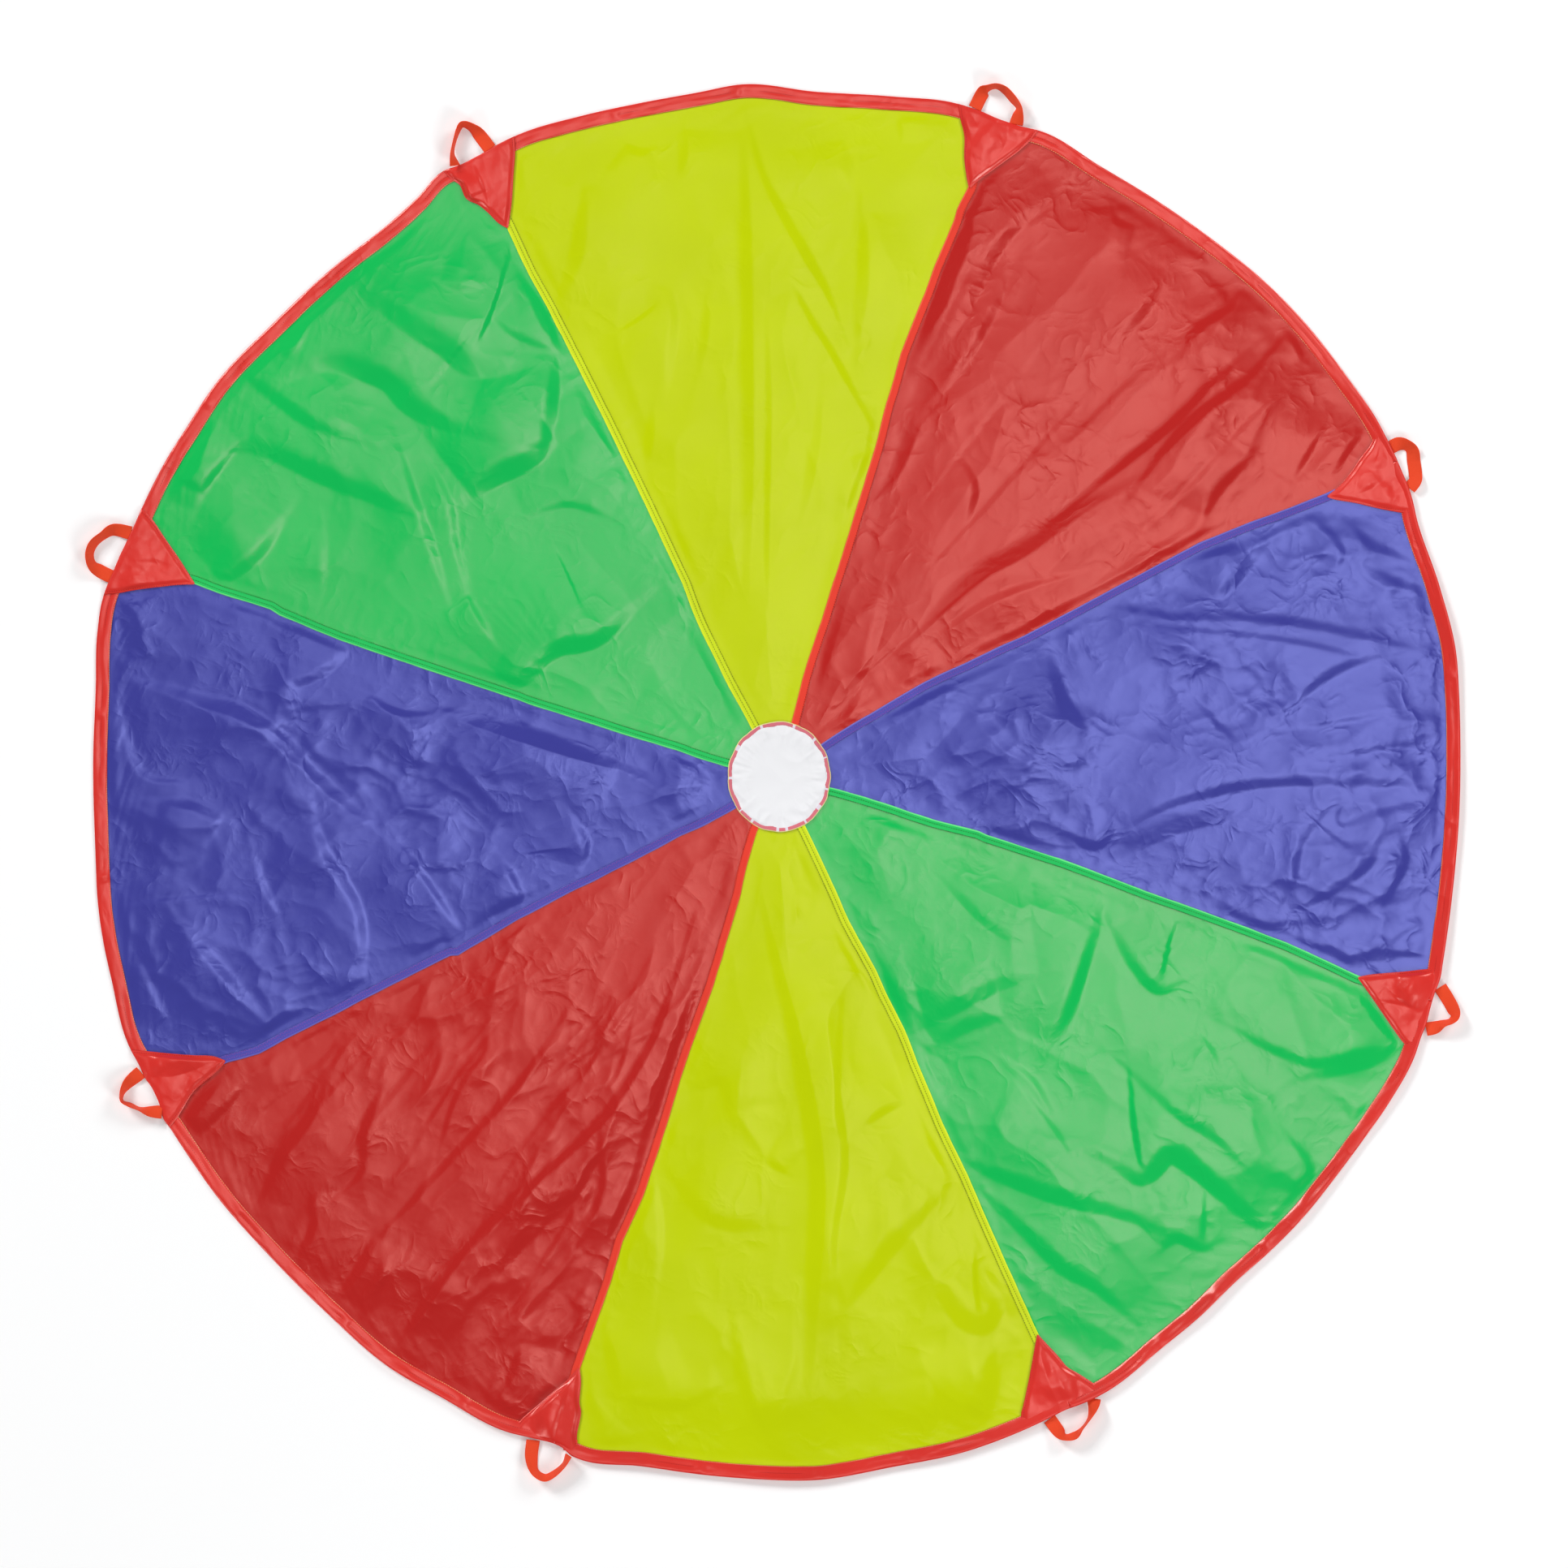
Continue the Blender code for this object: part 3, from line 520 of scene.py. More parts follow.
# Creases across the hem, written as the folds are
HEM_CREASES = (
    (8, 0.28, ((1560, 1521), (1564, 1530), (1570, 1542))),
    (4, 0.28, ((1595, 1482), (1602, 1488), (1610, 1496))),
    (9, 0.28, ((1484, 1592), (1496, 1598), (1510, 1596))),
    (5, 0.28, ((1690, 1380), (1680, 1392), (1668, 1404))),
    (6, 0.28, ((1540, 1330), (1556, 1338), (1566, 1350))),
    (6, 0.28, ((1780, 830), (1788, 836), (1798, 838))),
    (7, 0.28, ((1776, 1010), (1786, 1016), (1796, 1016))),
    (6, 0.28, ((1752, 690), (1758, 696), (1766, 698))),
    (6, 0.28, ((1546, 352), (1552, 346), (1562, 344))),
    (7, 0.28, ((1330, 200), (1338, 192), (1346, 184))),
    (6, 0.28, ((908, 124), (912, 114), (914, 104))),
    (8, 0.28, ((1050, 126), (1054, 118), (1058, 108))),
    (6, 0.28, ((760, 148), (762, 138), (764, 128))),
    (7, 0.28, ((412, 342), (406, 334), (400, 326))),
    (6, 0.28, ((262, 504), (254, 500), (246, 494))),
    (6, 0.28, ((134, 880), (124, 884), (116, 884))),
    (8, 0.28, ((136, 1080), (126, 1086), (118, 1086))),
    (6, 0.28, ((300, 1490), (292, 1498), (284, 1506))),
    (7, 0.28, ((436, 1624), (428, 1632), (422, 1642))),
    (7, 0.28, ((580, 1720), (576, 1732), (570, 1742))),
    (8, 0.28, ((868, 1800), (866, 1810), (862, 1820))),
    (6, 0.28, ((1010, 1804), (1012, 1814), (1016, 1824))),
    (7, 0.28, ((1120, 1784), (1124, 1794), (1130, 1804))),
    (6, 0.28, ((1420, 1650), (1428, 1656), (1436, 1664))),
)

# sRGB colours of the cloth where no light glances off it, except the seam strips' and their edges' colours,
# which are made lighter by painted sheen and painted highlights
COLOURS = {
    "yellow": (0.768, 0.837, 0.016),
    "red": (0.738, 0.136, 0.126),
    "blue": (0.246, 0.250, 0.606),
    "green": (0.013, 0.765, 0.345),
    "rim": (0.872, 0.180, 0.150),
    "webbing": (0.930, 0.280, 0.120),
    # The seam strips are matt. Their colours are their gores' colours made lighter by painted sheen, the
    # haze that the glossy gores catch from the soft boxes
    "yellow_strip": (0.815, 0.885, 0.090),
    "red_strip": (0.920, 0.230, 0.160),
    "blue_strip": (0.310, 0.300, 0.690),
    "green_strip": (0.100, 0.775, 0.370),
    "vent_white": (0.945, 0.945, 0.955),
    "vent_pink": (0.850, 0.450, 0.500),
    "vent_tab": (0.900, 0.850, 0.900),
    # Lighter tints for a thin line along each seam strip's edge: a painted highlight
    "yellow_edge": (0.930, 0.985, 0.180),
    "red_edge": (0.960, 0.330, 0.230),
    "blue_edge": (0.440, 0.420, 0.780),
    "green_edge": (0.420, 0.930, 0.520),
    "thread_dark": (0.420, 0.470, 0.060),
    "thread_green": (0.130, 0.400, 0.100),
    "thread_purple": (0.600, 0.330, 0.700),
    "thread_red": (0.620, 0.110, 0.110),
    "thread_cream": (0.930, 0.900, 0.620),
}


# Points and lines


def placed(pixels):
    """Points of the photograph as x and y on the floor."""
    offset = (np.asarray(pixels, float) - PHOTO_VENT) * PIXEL
    return offset * (1, -1)


def around(angle, radius):
    """Points of the floor by their angle and radius about the vent's centre."""
    return np.stack([np.cos(angle) * radius, np.sin(angle) * radius], axis=-1)


def polar(points):
    """The radius and the angle of points of the floor."""
    return np.hypot(points[..., 0], points[..., 1]), np.arctan2(points[..., 1], points[..., 0])


def raised(points, height):
    """Points of the floor at one height, or at a height each."""
    return np.concatenate([points, np.full(len(points), height)[:, None]], axis=1)


def unit(vectors):
    """Vectors, each brought to length 1."""
    return vectors / np.linalg.norm(vectors, axis=1)[:, None]


def ahead_of(line):
    """The direction of a line at each of its points."""
    return unit(np.gradient(line, axis=0))


def right_of(ahead):
    """The direction on the floor to the right of each direction."""
    return np.stack([ahead[:, 1], -ahead[:, 0]], axis=1)


def run_of(line):
    """How far along a line each of its points lies."""
    return np.concatenate([[0], np.cumsum(np.linalg.norm(np.diff(line, axis=0), axis=1))])


def points_at(line, run, distances):
    """The points of a line at distances along it."""
    return np.stack([np.interp(distances, run, column) for column in line.T], axis=1)


def curve_through(points, count):
    """Evenly spaced points on a smooth curve through the given ones, in any number of axes."""
    points = np.asarray(points, float)
    padded = np.concatenate([[2 * points[0] - points[1]], points, [2 * points[-1] - points[-2]]])
    t = np.linspace(0, 1, 24, endpoint=False)[:, None]
    fine = []
    for before, a, b, after in zip(padded, padded[1:], padded[2:], padded[3:]):
        bend = (2 * before - 5 * a + 4 * b - after) * t * t
        swing = (3 * (a - b) + after - before) * t**3
        fine.append(a + ((b - before) * t + bend + swing) / 2)
    fine = np.concatenate([*fine, [points[-1]]])
    run = run_of(fine[:, :2])
    return points_at(fine, run, np.linspace(0, run[-1], count))


def smooth(value, low, high):
    """Rises smoothly from 0 at low to 1 at high."""
    t = np.clip((value - low) / (high - low), 0, 1)
    return t * t * (3 - 2 * t)


def noise(x, y, seed):
    """Smooth gradient noise over a plane, about -1 to 1, the same for the same seed."""
    x, y = x + 0 * y, y + 0 * x
    source = np.random.default_rng(seed)
    order = source.permutation(256)
    turns = source.uniform(0, 2 * math.pi, 256)
    cell_x, cell_y = np.floor(x).astype(int), np.floor(y).astype(int)
    along_x, along_y = x - cell_x, y - cell_y

    def corner(step_x, step_y):
        turn = turns[order[(order[(cell_x + step_x) % 256] + cell_y + step_y) % 256]]
        return np.cos(turn) * (along_x - step_x) + np.sin(turn) * (along_y - step_y)

    ease_x = along_x**3 * (along_x * (along_x * 6 - 15) + 10)
    ease_y = along_y**3 * (along_y * (along_y * 6 - 15) + 10)
    near = corner(0, 0) * (1 - ease_x) + corner(1, 0) * ease_x
    far = corner(0, 1) * (1 - ease_x) + corner(1, 1) * ease_x
    return (near * (1 - ease_y) + far * ease_y) * 1.5


# The canopy's outline


def rim_knots():
    """Rising angles of the rim's points, and their radii."""
    points = [placed(pixel) for gore in GORES for pixel in gore["rim"]]
    points += [placed(pixel) for corner in CORNERS for pixel in corner["edge"]]
    radii, angles = polar(np.array(points))
    order = np.argsort(angles)
    return angles[order], radii[order]


RIM_ANGLES, RIM_RADII = rim_knots()


def rim_radius(angle):
    """The rim's radius at each angle, on a smooth closed curve through the knots."""
    turn = 2 * math.pi
    angles = np.concatenate([RIM_ANGLES - turn, RIM_ANGLES, RIM_ANGLES + turn])
    radii = np.tile(RIM_RADII, 3)
    slopes = np.gradient(radii, angles)
    angle = (np.asarray(angle, float) + math.pi) % turn - math.pi
    i = np.clip(np.searchsorted(angles, angle) - 1, 0, len(angles) - 2)
    span = angles[i + 1] - angles[i]
    t = (angle - angles[i]) / span
    return (
        radii[i] * (1 + 2 * t) * (1 - t) ** 2
        + radii[i + 1] * t * t * (3 - 2 * t)
        + span * t * (1 - t) * (slopes[i] * (1 - t) - slopes[i + 1] * t)
    )


def vent_radius(angle, grow):
    """The radius of the vent ring's outer edge at each angle, made larger by grow."""
    across, along = VENT_WIDTH / 2 + grow, VENT_LENGTH / 2 + grow
    return 1 / np.hypot(np.cos(angle) / across, np.sin(angle) / along)


def seam_angle(index, radius):
    """A seam's direction from the vent's centre at each radius."""
    corner = CORNERS[index % len(CORNERS)]
    base = math.radians(corner["seam_degrees"])
    radii, angles = polar(placed(corner["seam"]))
    turns = (angles - base + math.pi) % (2 * math.pi) - math.pi
    radii = np.append(radii, rim_radius(base))
    turns = np.append(turns, 0)
    return base + np.interp(radius, radii, turns)


def gore_angle(index, side, radius):
    """The angle of a gore's seam at each radius: side 0 is counter-clockwise of side 1."""
    start, end = seam_angle(index, radius), seam_angle(index + 1, radius)
    if side == 0:
        return start
    return np.where(end < start, end, end - 2 * math.pi)


# A radius just outside the vent, and how far short of the hem a seam strip stops
BESIDE_VENT = 0.08
SHORT_OF_HEM = 0.006


def seam_line(index, count):
    """Points along a seam from the vent to the patch, and the direction to its clockwise side."""
    base = math.radians(CORNERS[index]["seam_degrees"])
    inner = vent_radius(seam_angle(index, BESIDE_VENT), -UNDER_BINDING)
    outer = rim_radius(base) - HEM_WIDTH - SHORT_OF_HEM
    radii = np.linspace(inner, outer, count)
    line = around(seam_angle(index, radii), radii)
    return line, right_of(ahead_of(line))


# Materials


def linear(channel):
    """One sRGB channel as the linear value that a shader takes."""
    return channel / 12.92 if channel <= 0.04045 else ((channel + 0.055) / 1.055) ** 2.4


def feed(tree, node, inputs):
    """Sets the inputs of a node, each to a value or to the socket that it is linked from."""
    for key, value in inputs.items():
        if isinstance(value, bpy.types.NodeSocket):
            tree.links.new(value, node.inputs[key])
        else:
            node.inputs[key].default_value = value


def add_node(tree, kind, inputs, **settings):
    """A shader node with its settings and its inputs."""
    node = tree.nodes.new(f"ShaderNode{kind}")
    for name, value in settings.items():
        setattr(node, name, value)
    feed(tree, node, inputs)
    return node


def add_math(tree, operation, first, second):
    """The result of a sum on two sockets or values."""
    return add_node(tree, "Math", {0: first, 1: second}, operation=operation).outputs["Value"]


def add_bump(tree, height, strength, depth, under=None):
    """The normal of a bumpy surface, on top of another bump's normal if there is one."""
    bump = add_node(tree, "Bump", {"Height": height, "Strength": strength, "Distance": depth})
    if under is not None:
        feed(tree, bump, {"Normal": under})
    return bump.outputs["Normal"]


def add_ribs(tree, place, way, scale, distortion=0.0):
    """Fine waves along X or Y, as threads lie in woven cloth."""
    inputs = {"Vector": place, "Scale": scale, "Distortion": distortion}
    return add_node(tree, "TexWave", inputs, bands_direction=way).outputs["Fac"]


def add_creases(tree, place):
    """Ridged creases, here and there on the cloth."""
    ridges = {
        "Vector": place,
        "Scale": 24.0,
        "Detail": 2.5,
        "Roughness": 0.55,
        "Lacunarity": 2.3,
        "Offset": 1.0,
        "Distortion": 0.5,
    }
    crumple = add_node(tree, "TexNoise", ridges, noise_type="RIDGED_MULTIFRACTAL")
    spread = add_node(tree, "TexNoise", {"Scale": 9.0, "Detail": 4.0, "Vector": place})
    reach = {"From Min": 0.36, "From Max": 0.66, "Value": spread.outputs["Fac"]}
    some = add_node(tree, "MapRange", reach)
    return add_math(tree, "MULTIPLY", crumple.outputs["Fac"], some.outputs["Result"])


# An index of 2 sends back a ninth of the light, the most that a sheen can be.
GLOSS_IOR = 2.0
GLOSS_MOST = 0.111
THREAD_SCALE = 900.0
WEAVE_DEPTH = 0.0002
CREASE_DEPTH = 0.0010
TAPE_DEPTH = 0.0003


def cloth_material(name, colour, sheen, roughness, creases=0.0, weave=0.05, tint=0.03):
    """Satin or matt cloth: slight changes of colour, fine creases and a woven surface.

    The sheen is how much red, green and blue light the cloth's gloss sends back.
    """
    material = bpy.data.materials.new(name)
    material.use_nodes = True
    tree = material.node_tree
    place = add_node(tree, "TexCoord", {}).outputs["Object"]
    drift = add_node(tree, "TexNoise", {"Scale": 6.0, "Detail": 5.0, "Vector": place})
    ramp = add_node(tree, "ValToRGB", {"Fac": drift.outputs["Fac"]})
    base = np.array([linear(channel) for channel in COLOURS[colour]])
    for element, position, share in zip(ramp.color_ramp.elements, (0.3, 0.7), (1 - tint, 1 + tint)):
        element.position = position
        element.color = (*np.clip(base * share, 0, 1), 1)
    threads = [add_ribs(tree, place, way, THREAD_SCALE) for way in "XY"]
    normal = add_bump(tree, add_math(tree, "MULTIPLY", *threads), weave, WEAVE_DEPTH)
    if creases:
        normal = add_bump(tree, add_creases(tree, place), creases, CREASE_DEPTH, normal)
    shader = {
        "Base Color": ramp.outputs["Color"],
        "Roughness": roughness,
        "IOR": GLOSS_IOR,
        "Specular Tint": (*[part / GLOSS_MOST for part in sheen], 1),
        "Normal": normal,
    }
    feed(tree, tree.nodes["Principled BSDF"], shader)
    return material


def webbing_material():
    """Woven polypropylene tape: ribs across it, matt, with a finer thread along it."""
    material = cloth_material("webbing", "webbing", (0.02, 0.02, 0.02), 0.62, weave=0.0, tint=0.06)
    tree = material.node_tree
    place = add_node(tree, "UVMap", {}).outputs["UV"]
    ribs = add_ribs(tree, place, "X", 190.0, 0.6)
    woven = add_math(tree, "ADD", ribs, add_ribs(tree, place, "Y", 240.0))
    feed(tree, tree.nodes["Principled BSDF"], {"Normal": add_bump(tree, woven, 0.5, TAPE_DEPTH)})
    return material


def make_materials():
    """Every material by its short name."""
    cloth = cloth_material
    white = (0.03, 0.03, 0.03)
    made = {
        "yellow": cloth("yellow_taffeta", "yellow", (0.023, 0.018, 0.0104), 0.18, creases=0.30),
        "red": cloth("red_taffeta", "red", (0.068, 0.030, 0.026), 0.18, creases=0.46),
        "blue": cloth("blue_taffeta", "blue", (0.039, 0.043, 0.097), 0.17, creases=0.46),
        "green": cloth("green_taffeta", "green", (0.053, 0.022, 0.037), 0.18, creases=0.32),
        "rim": cloth("rim_cloth", "rim", (0.084, 0.050, 0.046), 0.28, creases=0.45, tint=0.07),
        "vent_white": cloth("vent_cover_cloth", "vent_white", white, 0.50, creases=0.1, tint=0.015),
        "vent_pink": cloth("vent_ring_cloth", "vent_pink", (0.03, 0.02, 0.02), 0.55, creases=0.2, tint=0.08),
        "vent_tab": cloth("vent_tab_cloth", "vent_tab", white, 0.50, tint=0.05),
        "webbing": webbing_material(),
    }
    # The seam strips are matt: their sheen is painted into their lighter colours, and their edges' lighter
    # tints are a painted highlight
    matt = (0.025, 0.022, 0.020)
    for name in ("yellow", "red", "blue", "green"):
        strip, edge = f"{name}_strip", f"{name}_edge"
        made[strip] = cloth(strip, strip, matt, 0.45, creases=0.2, tint=0.06)
        made[edge] = cloth(edge, edge, matt, 0.50, tint=0.06)
    for name in ("dark", "green", "purple", "red", "cream"):
        thread = f"thread_{name}"
        made[thread] = cloth(thread, thread, (0.02, 0.02, 0.02), 0.60, weave=0.0, tint=0.1)
    return made


MATERIALS = make_materials()


# Meshes


def grid_faces(rows, columns, closed=False, ring=False):
    """The quads of a grid of points. Closed joins its last column to the first, ring its last row."""
    across, down = np.arange(columns - (not closed)), np.arange(rows - (not ring))
    i, j = np.meshgrid(down, across, indexing="ij")
    here, beyond, n = i * columns, (i + 1) % rows * columns, (j + 1) % columns
    return np.stack([here + j, here + n, beyond + n, beyond + j], axis=-1).reshape(-1, 4)


def add_mesh(name, vertices, quads, materials, indices=None, uv=None):
    """A smooth mesh object with named materials. A quad that repeats a corner stands for a triangle."""
    mesh = bpy.data.meshes.new(name)
    vertices = np.asarray(vertices, np.float32)
    quads = np.asarray(quads, np.int32)
    mesh.vertices.add(len(vertices))
    mesh.vertices.foreach_set("co", vertices.ravel())
    mesh.loops.add(quads.size)
    mesh.loops.foreach_set("vertex_index", quads.ravel())
    mesh.polygons.add(len(quads))
    mesh.polygons.foreach_set("loop_start", np.arange(len(quads), dtype=np.int32) * 4)
    mesh.polygons.foreach_set("loop_total", np.full(len(quads), 4, np.int32))
    mesh.polygons.foreach_set("use_smooth", np.ones(len(quads), bool))
    for material in materials:
        mesh.materials.append(MATERIALS[material])
    if indices is not None:
        mesh.polygons.foreach_set("material_index", np.asarray(indices, np.int32))
    if uv is not None:
        layer = mesh.uv_layers.new(name="UVMap")
        layer.data.foreach_set("uv", np.asarray(uv, np.float32)[quads.ravel()].ravel())
    mesh.update(calc_edges=True)
    mesh.validate()
    obj = bpy.data.objects.new(name, mesh)
    bpy.context.scene.collection.objects.link(obj)
    return obj


def add_joined(name, shapes, materials):
    """One mesh object of several shapes, each with its vertices, quads and material index."""
    vertices, quads, indices, count = [], [], [], 0
    for shape_vertices, shape_quads, index in shapes:
        vertices.append(shape_vertices)
        quads.append(shape_quads + count)
        indices.append(np.full(len(shape_quads), index))
        count += len(shape_vertices)
    joined = (np.concatenate(part) for part in (vertices, quads))
    return add_mesh(name, *joined, materials, np.concatenate(indices))


def slab(top, thickness):
    """A closed sheet under a grid of points: its vertices and quads."""
    rows, columns = top.shape[:2]
    count = rows * columns
    vertices = np.concatenate([top.reshape(-1, 3), (top - (0, 0, thickness)).reshape(-1, 3)])
    faces = grid_faces(rows, columns)
    order = np.arange(count).reshape(rows, columns)
    border = np.concatenate([order[0], order[1:, -1], order[-1, -2::-1], order[-2:0:-1, 0]])
    after = np.roll(border, -1)
    walls = np.stack([border, border + count, after + count, after], axis=1)
    return vertices, np.concatenate([faces, faces[:, ::-1] + count, walls])


def tube(sections):
    """A closed tube through equal rings of points: its vertices and quads, with flat ends."""
    rows, columns = sections.shape[:2]
    faces = [grid_faces(rows, columns, closed=True)]
    k = np.arange(columns // 2 - 1)
    for row, way in ((0, 1), (rows - 1, -1)):
        cap = np.stack([k, columns - 1 - k, columns - 2 - k, k + 1], axis=1)[:, ::way]
        faces.append(cap + row * columns)
    return sections.reshape(-1, 3), np.concatenate(faces)


def stitches(line, length, gap, width, height, zigzag=0.0):
    """Raised thread dashes along a line in space: their vertices and quads."""
    run = run_of(line)
    starts = np.arange(gap, run[-1] - length, length + gap)
    first, last = points_at(line, run, starts), points_at(line, run, starts + length)
    side = raised(-right_of(unit((last - first) * (1, 1, 0))), 0.0)
    if zigzag:
        way = np.where(np.arange(len(starts)) % 2, 1.0, -1.0)[:, None]
        first, last = first - side * way * zigzag, last + side * way * zigzag
    middle = (first + last) / 2 + (0, 0, height)
    left, right = middle + side * width / 2, middle - side * width / 2
    sunk = (0, 0, height / 2)
    dash = np.stack([first - sunk, left - sunk, last - sunk, right - sunk, middle], axis=1)
    base = np.arange(len(starts))[:, None] * 5
    return dash.reshape(-1, 3), np.concatenate([base + (0, 3, 4, 1), base + (1, 4, 3, 2)])


# The cloth's relief


# The shaded slope of a fold starts softly over this share of it.
SOFT_START = 0.45
DOWN_THE_PICTURE = (0.35, -0.94)


def beside(points, line, away):
    """How far points lie beside a line on its away side, their share along it, and how far past its ends."""
    best = np.full(len(points), np.inf)
    lateral, share, beyond = np.zeros((3, len(points)))
    last = len(line) - 2
    for i in range(last + 1):
        step = line[i + 1] - line[i]
        along = (points - line[i]) @ step / (step @ step)
        part = np.clip(along, 0, 1)
        offset = points - line[i] - part[:, None] * step
        distance = np.einsum("ij,ij->i", offset, offset)
        closer = distance < best
        best[closer] = distance[closer]
        out = away[i] * (1 - part[:, None]) + away[i + 1] * part[:, None]
        sideways = np.einsum("ij,ij->i", offset, out)
        past = (i == 0) & (along < 0) | (i == last) & (along > 1)
        length = np.where(past, np.abs(sideways), np.sqrt(distance))
        lateral[closer] = (np.sign(sideways) * length)[closer]
        overrun = np.sqrt(np.maximum(distance - sideways**2, 0))
        beyond[closer] = np.where(past, overrun, 0)[closer]
        share[closer] = ((i + part) / (last + 1))[closer]
    return lateral, share, beyond


def stroke(points, fold, outward=(0.7, -0.7), rise_length=None):
    """Height of one fold at each point: a steep slope facing outward, crisp along its lower edge."""
    width_pixels, steepness, route = fold
    width = width_pixels * PIXEL
    if rise_length is None:
        rise_length = 0.070 + 2.4 * width
    line = curve_through(placed(route), 8 * len(route))
    away = right_of(ahead_of(line))
    if np.mean(away @ outward) < 0:
        away = -away
    reach = 1.5 * width + rise_length
    inside = np.all((points > line.min(axis=0) - reach) & (points < line.max(axis=0) + reach), axis=1)
    height = np.zeros(len(points))
    if not inside.any():
        return height
    lateral, share, beyond = beside(points[inside], line, away)
    taper = np.sin(math.pi * np.clip(share, 0.05, 0.95)) ** 0.6
    local = width * (0.30 + 0.80 * taper)
    u = lateral / local + 0.5
    # The slope starts softly on the picture's upper side and ends crisply on the lower one.
    facing_down = np.mean(away @ DOWN_THE_PICTURE) > 0
    q = np.clip(u if facing_down else 1 - u, 0, 1)
    full = 1 - SOFT_START / 2
    drop = np.where(q < SOFT_START, q * q / (2 * SOFT_START), q - SOFT_START / 2) / full
    fall = 1 - drop if facing_down else drop
    behind = np.clip(-u, 0, None) * local
    rise = 1 - smooth(behind, 0, rise_length)
    crest = (0.06 + 0.55 * steepness) * local * full
    spread = 1.2 * width + 0.6 * behind
    height[inside] = crest * np.where(u < 0, rise, fall) * np.exp(-((beyond / spread) ** 2)) * taper
    return height


# How far a flat patch of the crumple reaches, in its own sizes, and how much it is dished
FACET_REACH = 2.7
FACET_BOWL = 1.1


def facets(along, across, size, tilt, seed):
    """A crumpled relief of flat patches that meet in crisp ridges, about size across."""
    source = np.random.default_rng(seed)
    low = (along.min() - size, across.min() - size)
    high = (along.max() + size, across.max() + size)
    counts = [int((b - a) / size) + 1 for a, b in zip(low, high)]
    lattice = np.meshgrid(*[a + size * np.arange(n) for a, n in zip(low, counts)])
    spots = np.stack(lattice, axis=-1).reshape(-1, 2)
    spots = spots + source.uniform(-0.5, 0.5, spots.shape) * size
    turns = source.uniform(0, 2 * math.pi, len(spots))
    tilts = tilt * source.uniform(0.3, 1.0, len(spots))
    lifts = source.uniform(-0.2, 0.2, len(spots)) * tilt * size
    height = np.full(len(along), np.inf)
    reach = FACET_REACH * size
    for (x, y), turn, slope, lift in zip(spots, turns, tilts, lifts):
        dx, dy = along - x, across - y
        close = (np.abs(dx) < reach) & (np.abs(dy) < reach)
        dx, dy = dx[close], dy[close]
        plane = slope * (math.cos(turn) * dx + math.sin(turn) * dy) + lift
        bowl = (dx * dx + dy * dy) * FACET_BOWL * tilt / size
        height[close] = np.minimum(height[close], plane + bowl)
    return height


def crinkles(points, gore, seed):
    """The crumpled relief of a gore: broad waves, flat patches with crisp edges, and finer ones."""
    turn = math.radians(gore["grain"])
    along = points @ (math.cos(turn), math.sin(turn)) / gore["stretch"]
    across = points @ (-math.sin(turn), math.cos(turn))
    size, tilt, fine_tilt = gore["crinkle"]
    bend_a = noise(along / 0.09, across / 0.09, seed + 1) * 0.016
    bend_b = noise(along / 0.08, across / 0.08, seed + 2) * 0.016
    along, across = along + bend_a, across + bend_b
    calm = smooth(noise(along / 0.17, across / 0.17, seed + 6), -0.5, 0.45)
    height = facets(along, across, size, tilt, seed + 3) * (0.35 + 0.65 * calm)
    height += facets(along, across, size * 0.42, fine_tilt, seed + 4) * calm
    return height + tilt * 0.035 * noise(along / 0.26, across / 0.16, seed + 7)


def softened(heights):
    """A grid of heights with its sharpest kinks smoothed along both its ways."""
    for _ in range(2):
        padded = np.pad(heights, ((1, 1), (0, 0)), mode="edge")
        heights = ((padded[:-2] + 2 * heights + padded[2:]) / 4).T
    return heights


def patch_distance(points, corner):
    """How far outside a corner patch each point lies, negative inside."""
    ends = placed([corner["edge"][0], corner["edge"][-1], corner["tip"]])
    middle = ends.mean(axis=0)
    distance = np.full(len(points), -np.inf)
    for a, b in zip(ends, np.roll(ends, -1, axis=0)):
        normal = np.array([b[1] - a[1], a[0] - b[0]])
        normal /= np.linalg.norm(normal)
        if normal @ (middle - a) > 0:
            normal = -normal
        distance = np.maximum(distance, (points - a) @ normal)
    return distance


# The pieces


GORE_ROWS, GORE_COLUMNS = 340, 268
# How far a gore runs on under its neighbour's seam strip, and how far inside its own seam's line
# it starts
UNDERLAP = 0.007
SEAM_INSET = 0.0008
# Where the cloth stops short of the hem's outer edge
INSIDE_HEM = 0.0022
# The steepest that a gore rises from its sewn edges, its lowest height, and how much deeper
# it lies under its neighbour
EDGE_SLOPE = 0.20
LOWEST = 0.0003
UNDERLAP_DEPTH = 0.0005
# Where the relief starts, just outside the sewn edges
RELIEF_START = -0.0005


def gore_grid(index):
    """The angle and the radius of each point of a gore's grid, row by row from the vent."""
    s = np.linspace(0, 1, GORE_ROWS)[:, None]
    t = np.linspace(0, 1, GORE_COLUMNS)[None, :]
    radius = 0.07 + 0.91 * s + 0 * t
    # The seams' angles depend on the radius, and the rim's radius on the angle, so this first
    # guess is mended a few times.
    for _ in range(4):
        start = gore_angle(index, 0, radius) - SEAM_INSET / radius
        end = gore_angle(index, 1, radius) - UNDERLAP / radius
        angle = start + (end - start) * t
        inner, outer = vent_radius(angle, -UNDER_BINDING), rim_radius(angle) - INSIDE_HEM
        radius = inner + (outer - inner) * s
    return angle.ravel(), radius.ravel()


def colour_of(gore):
    """The colour that a gore's name starts with."""
    return gore["name"].split("_")[0]


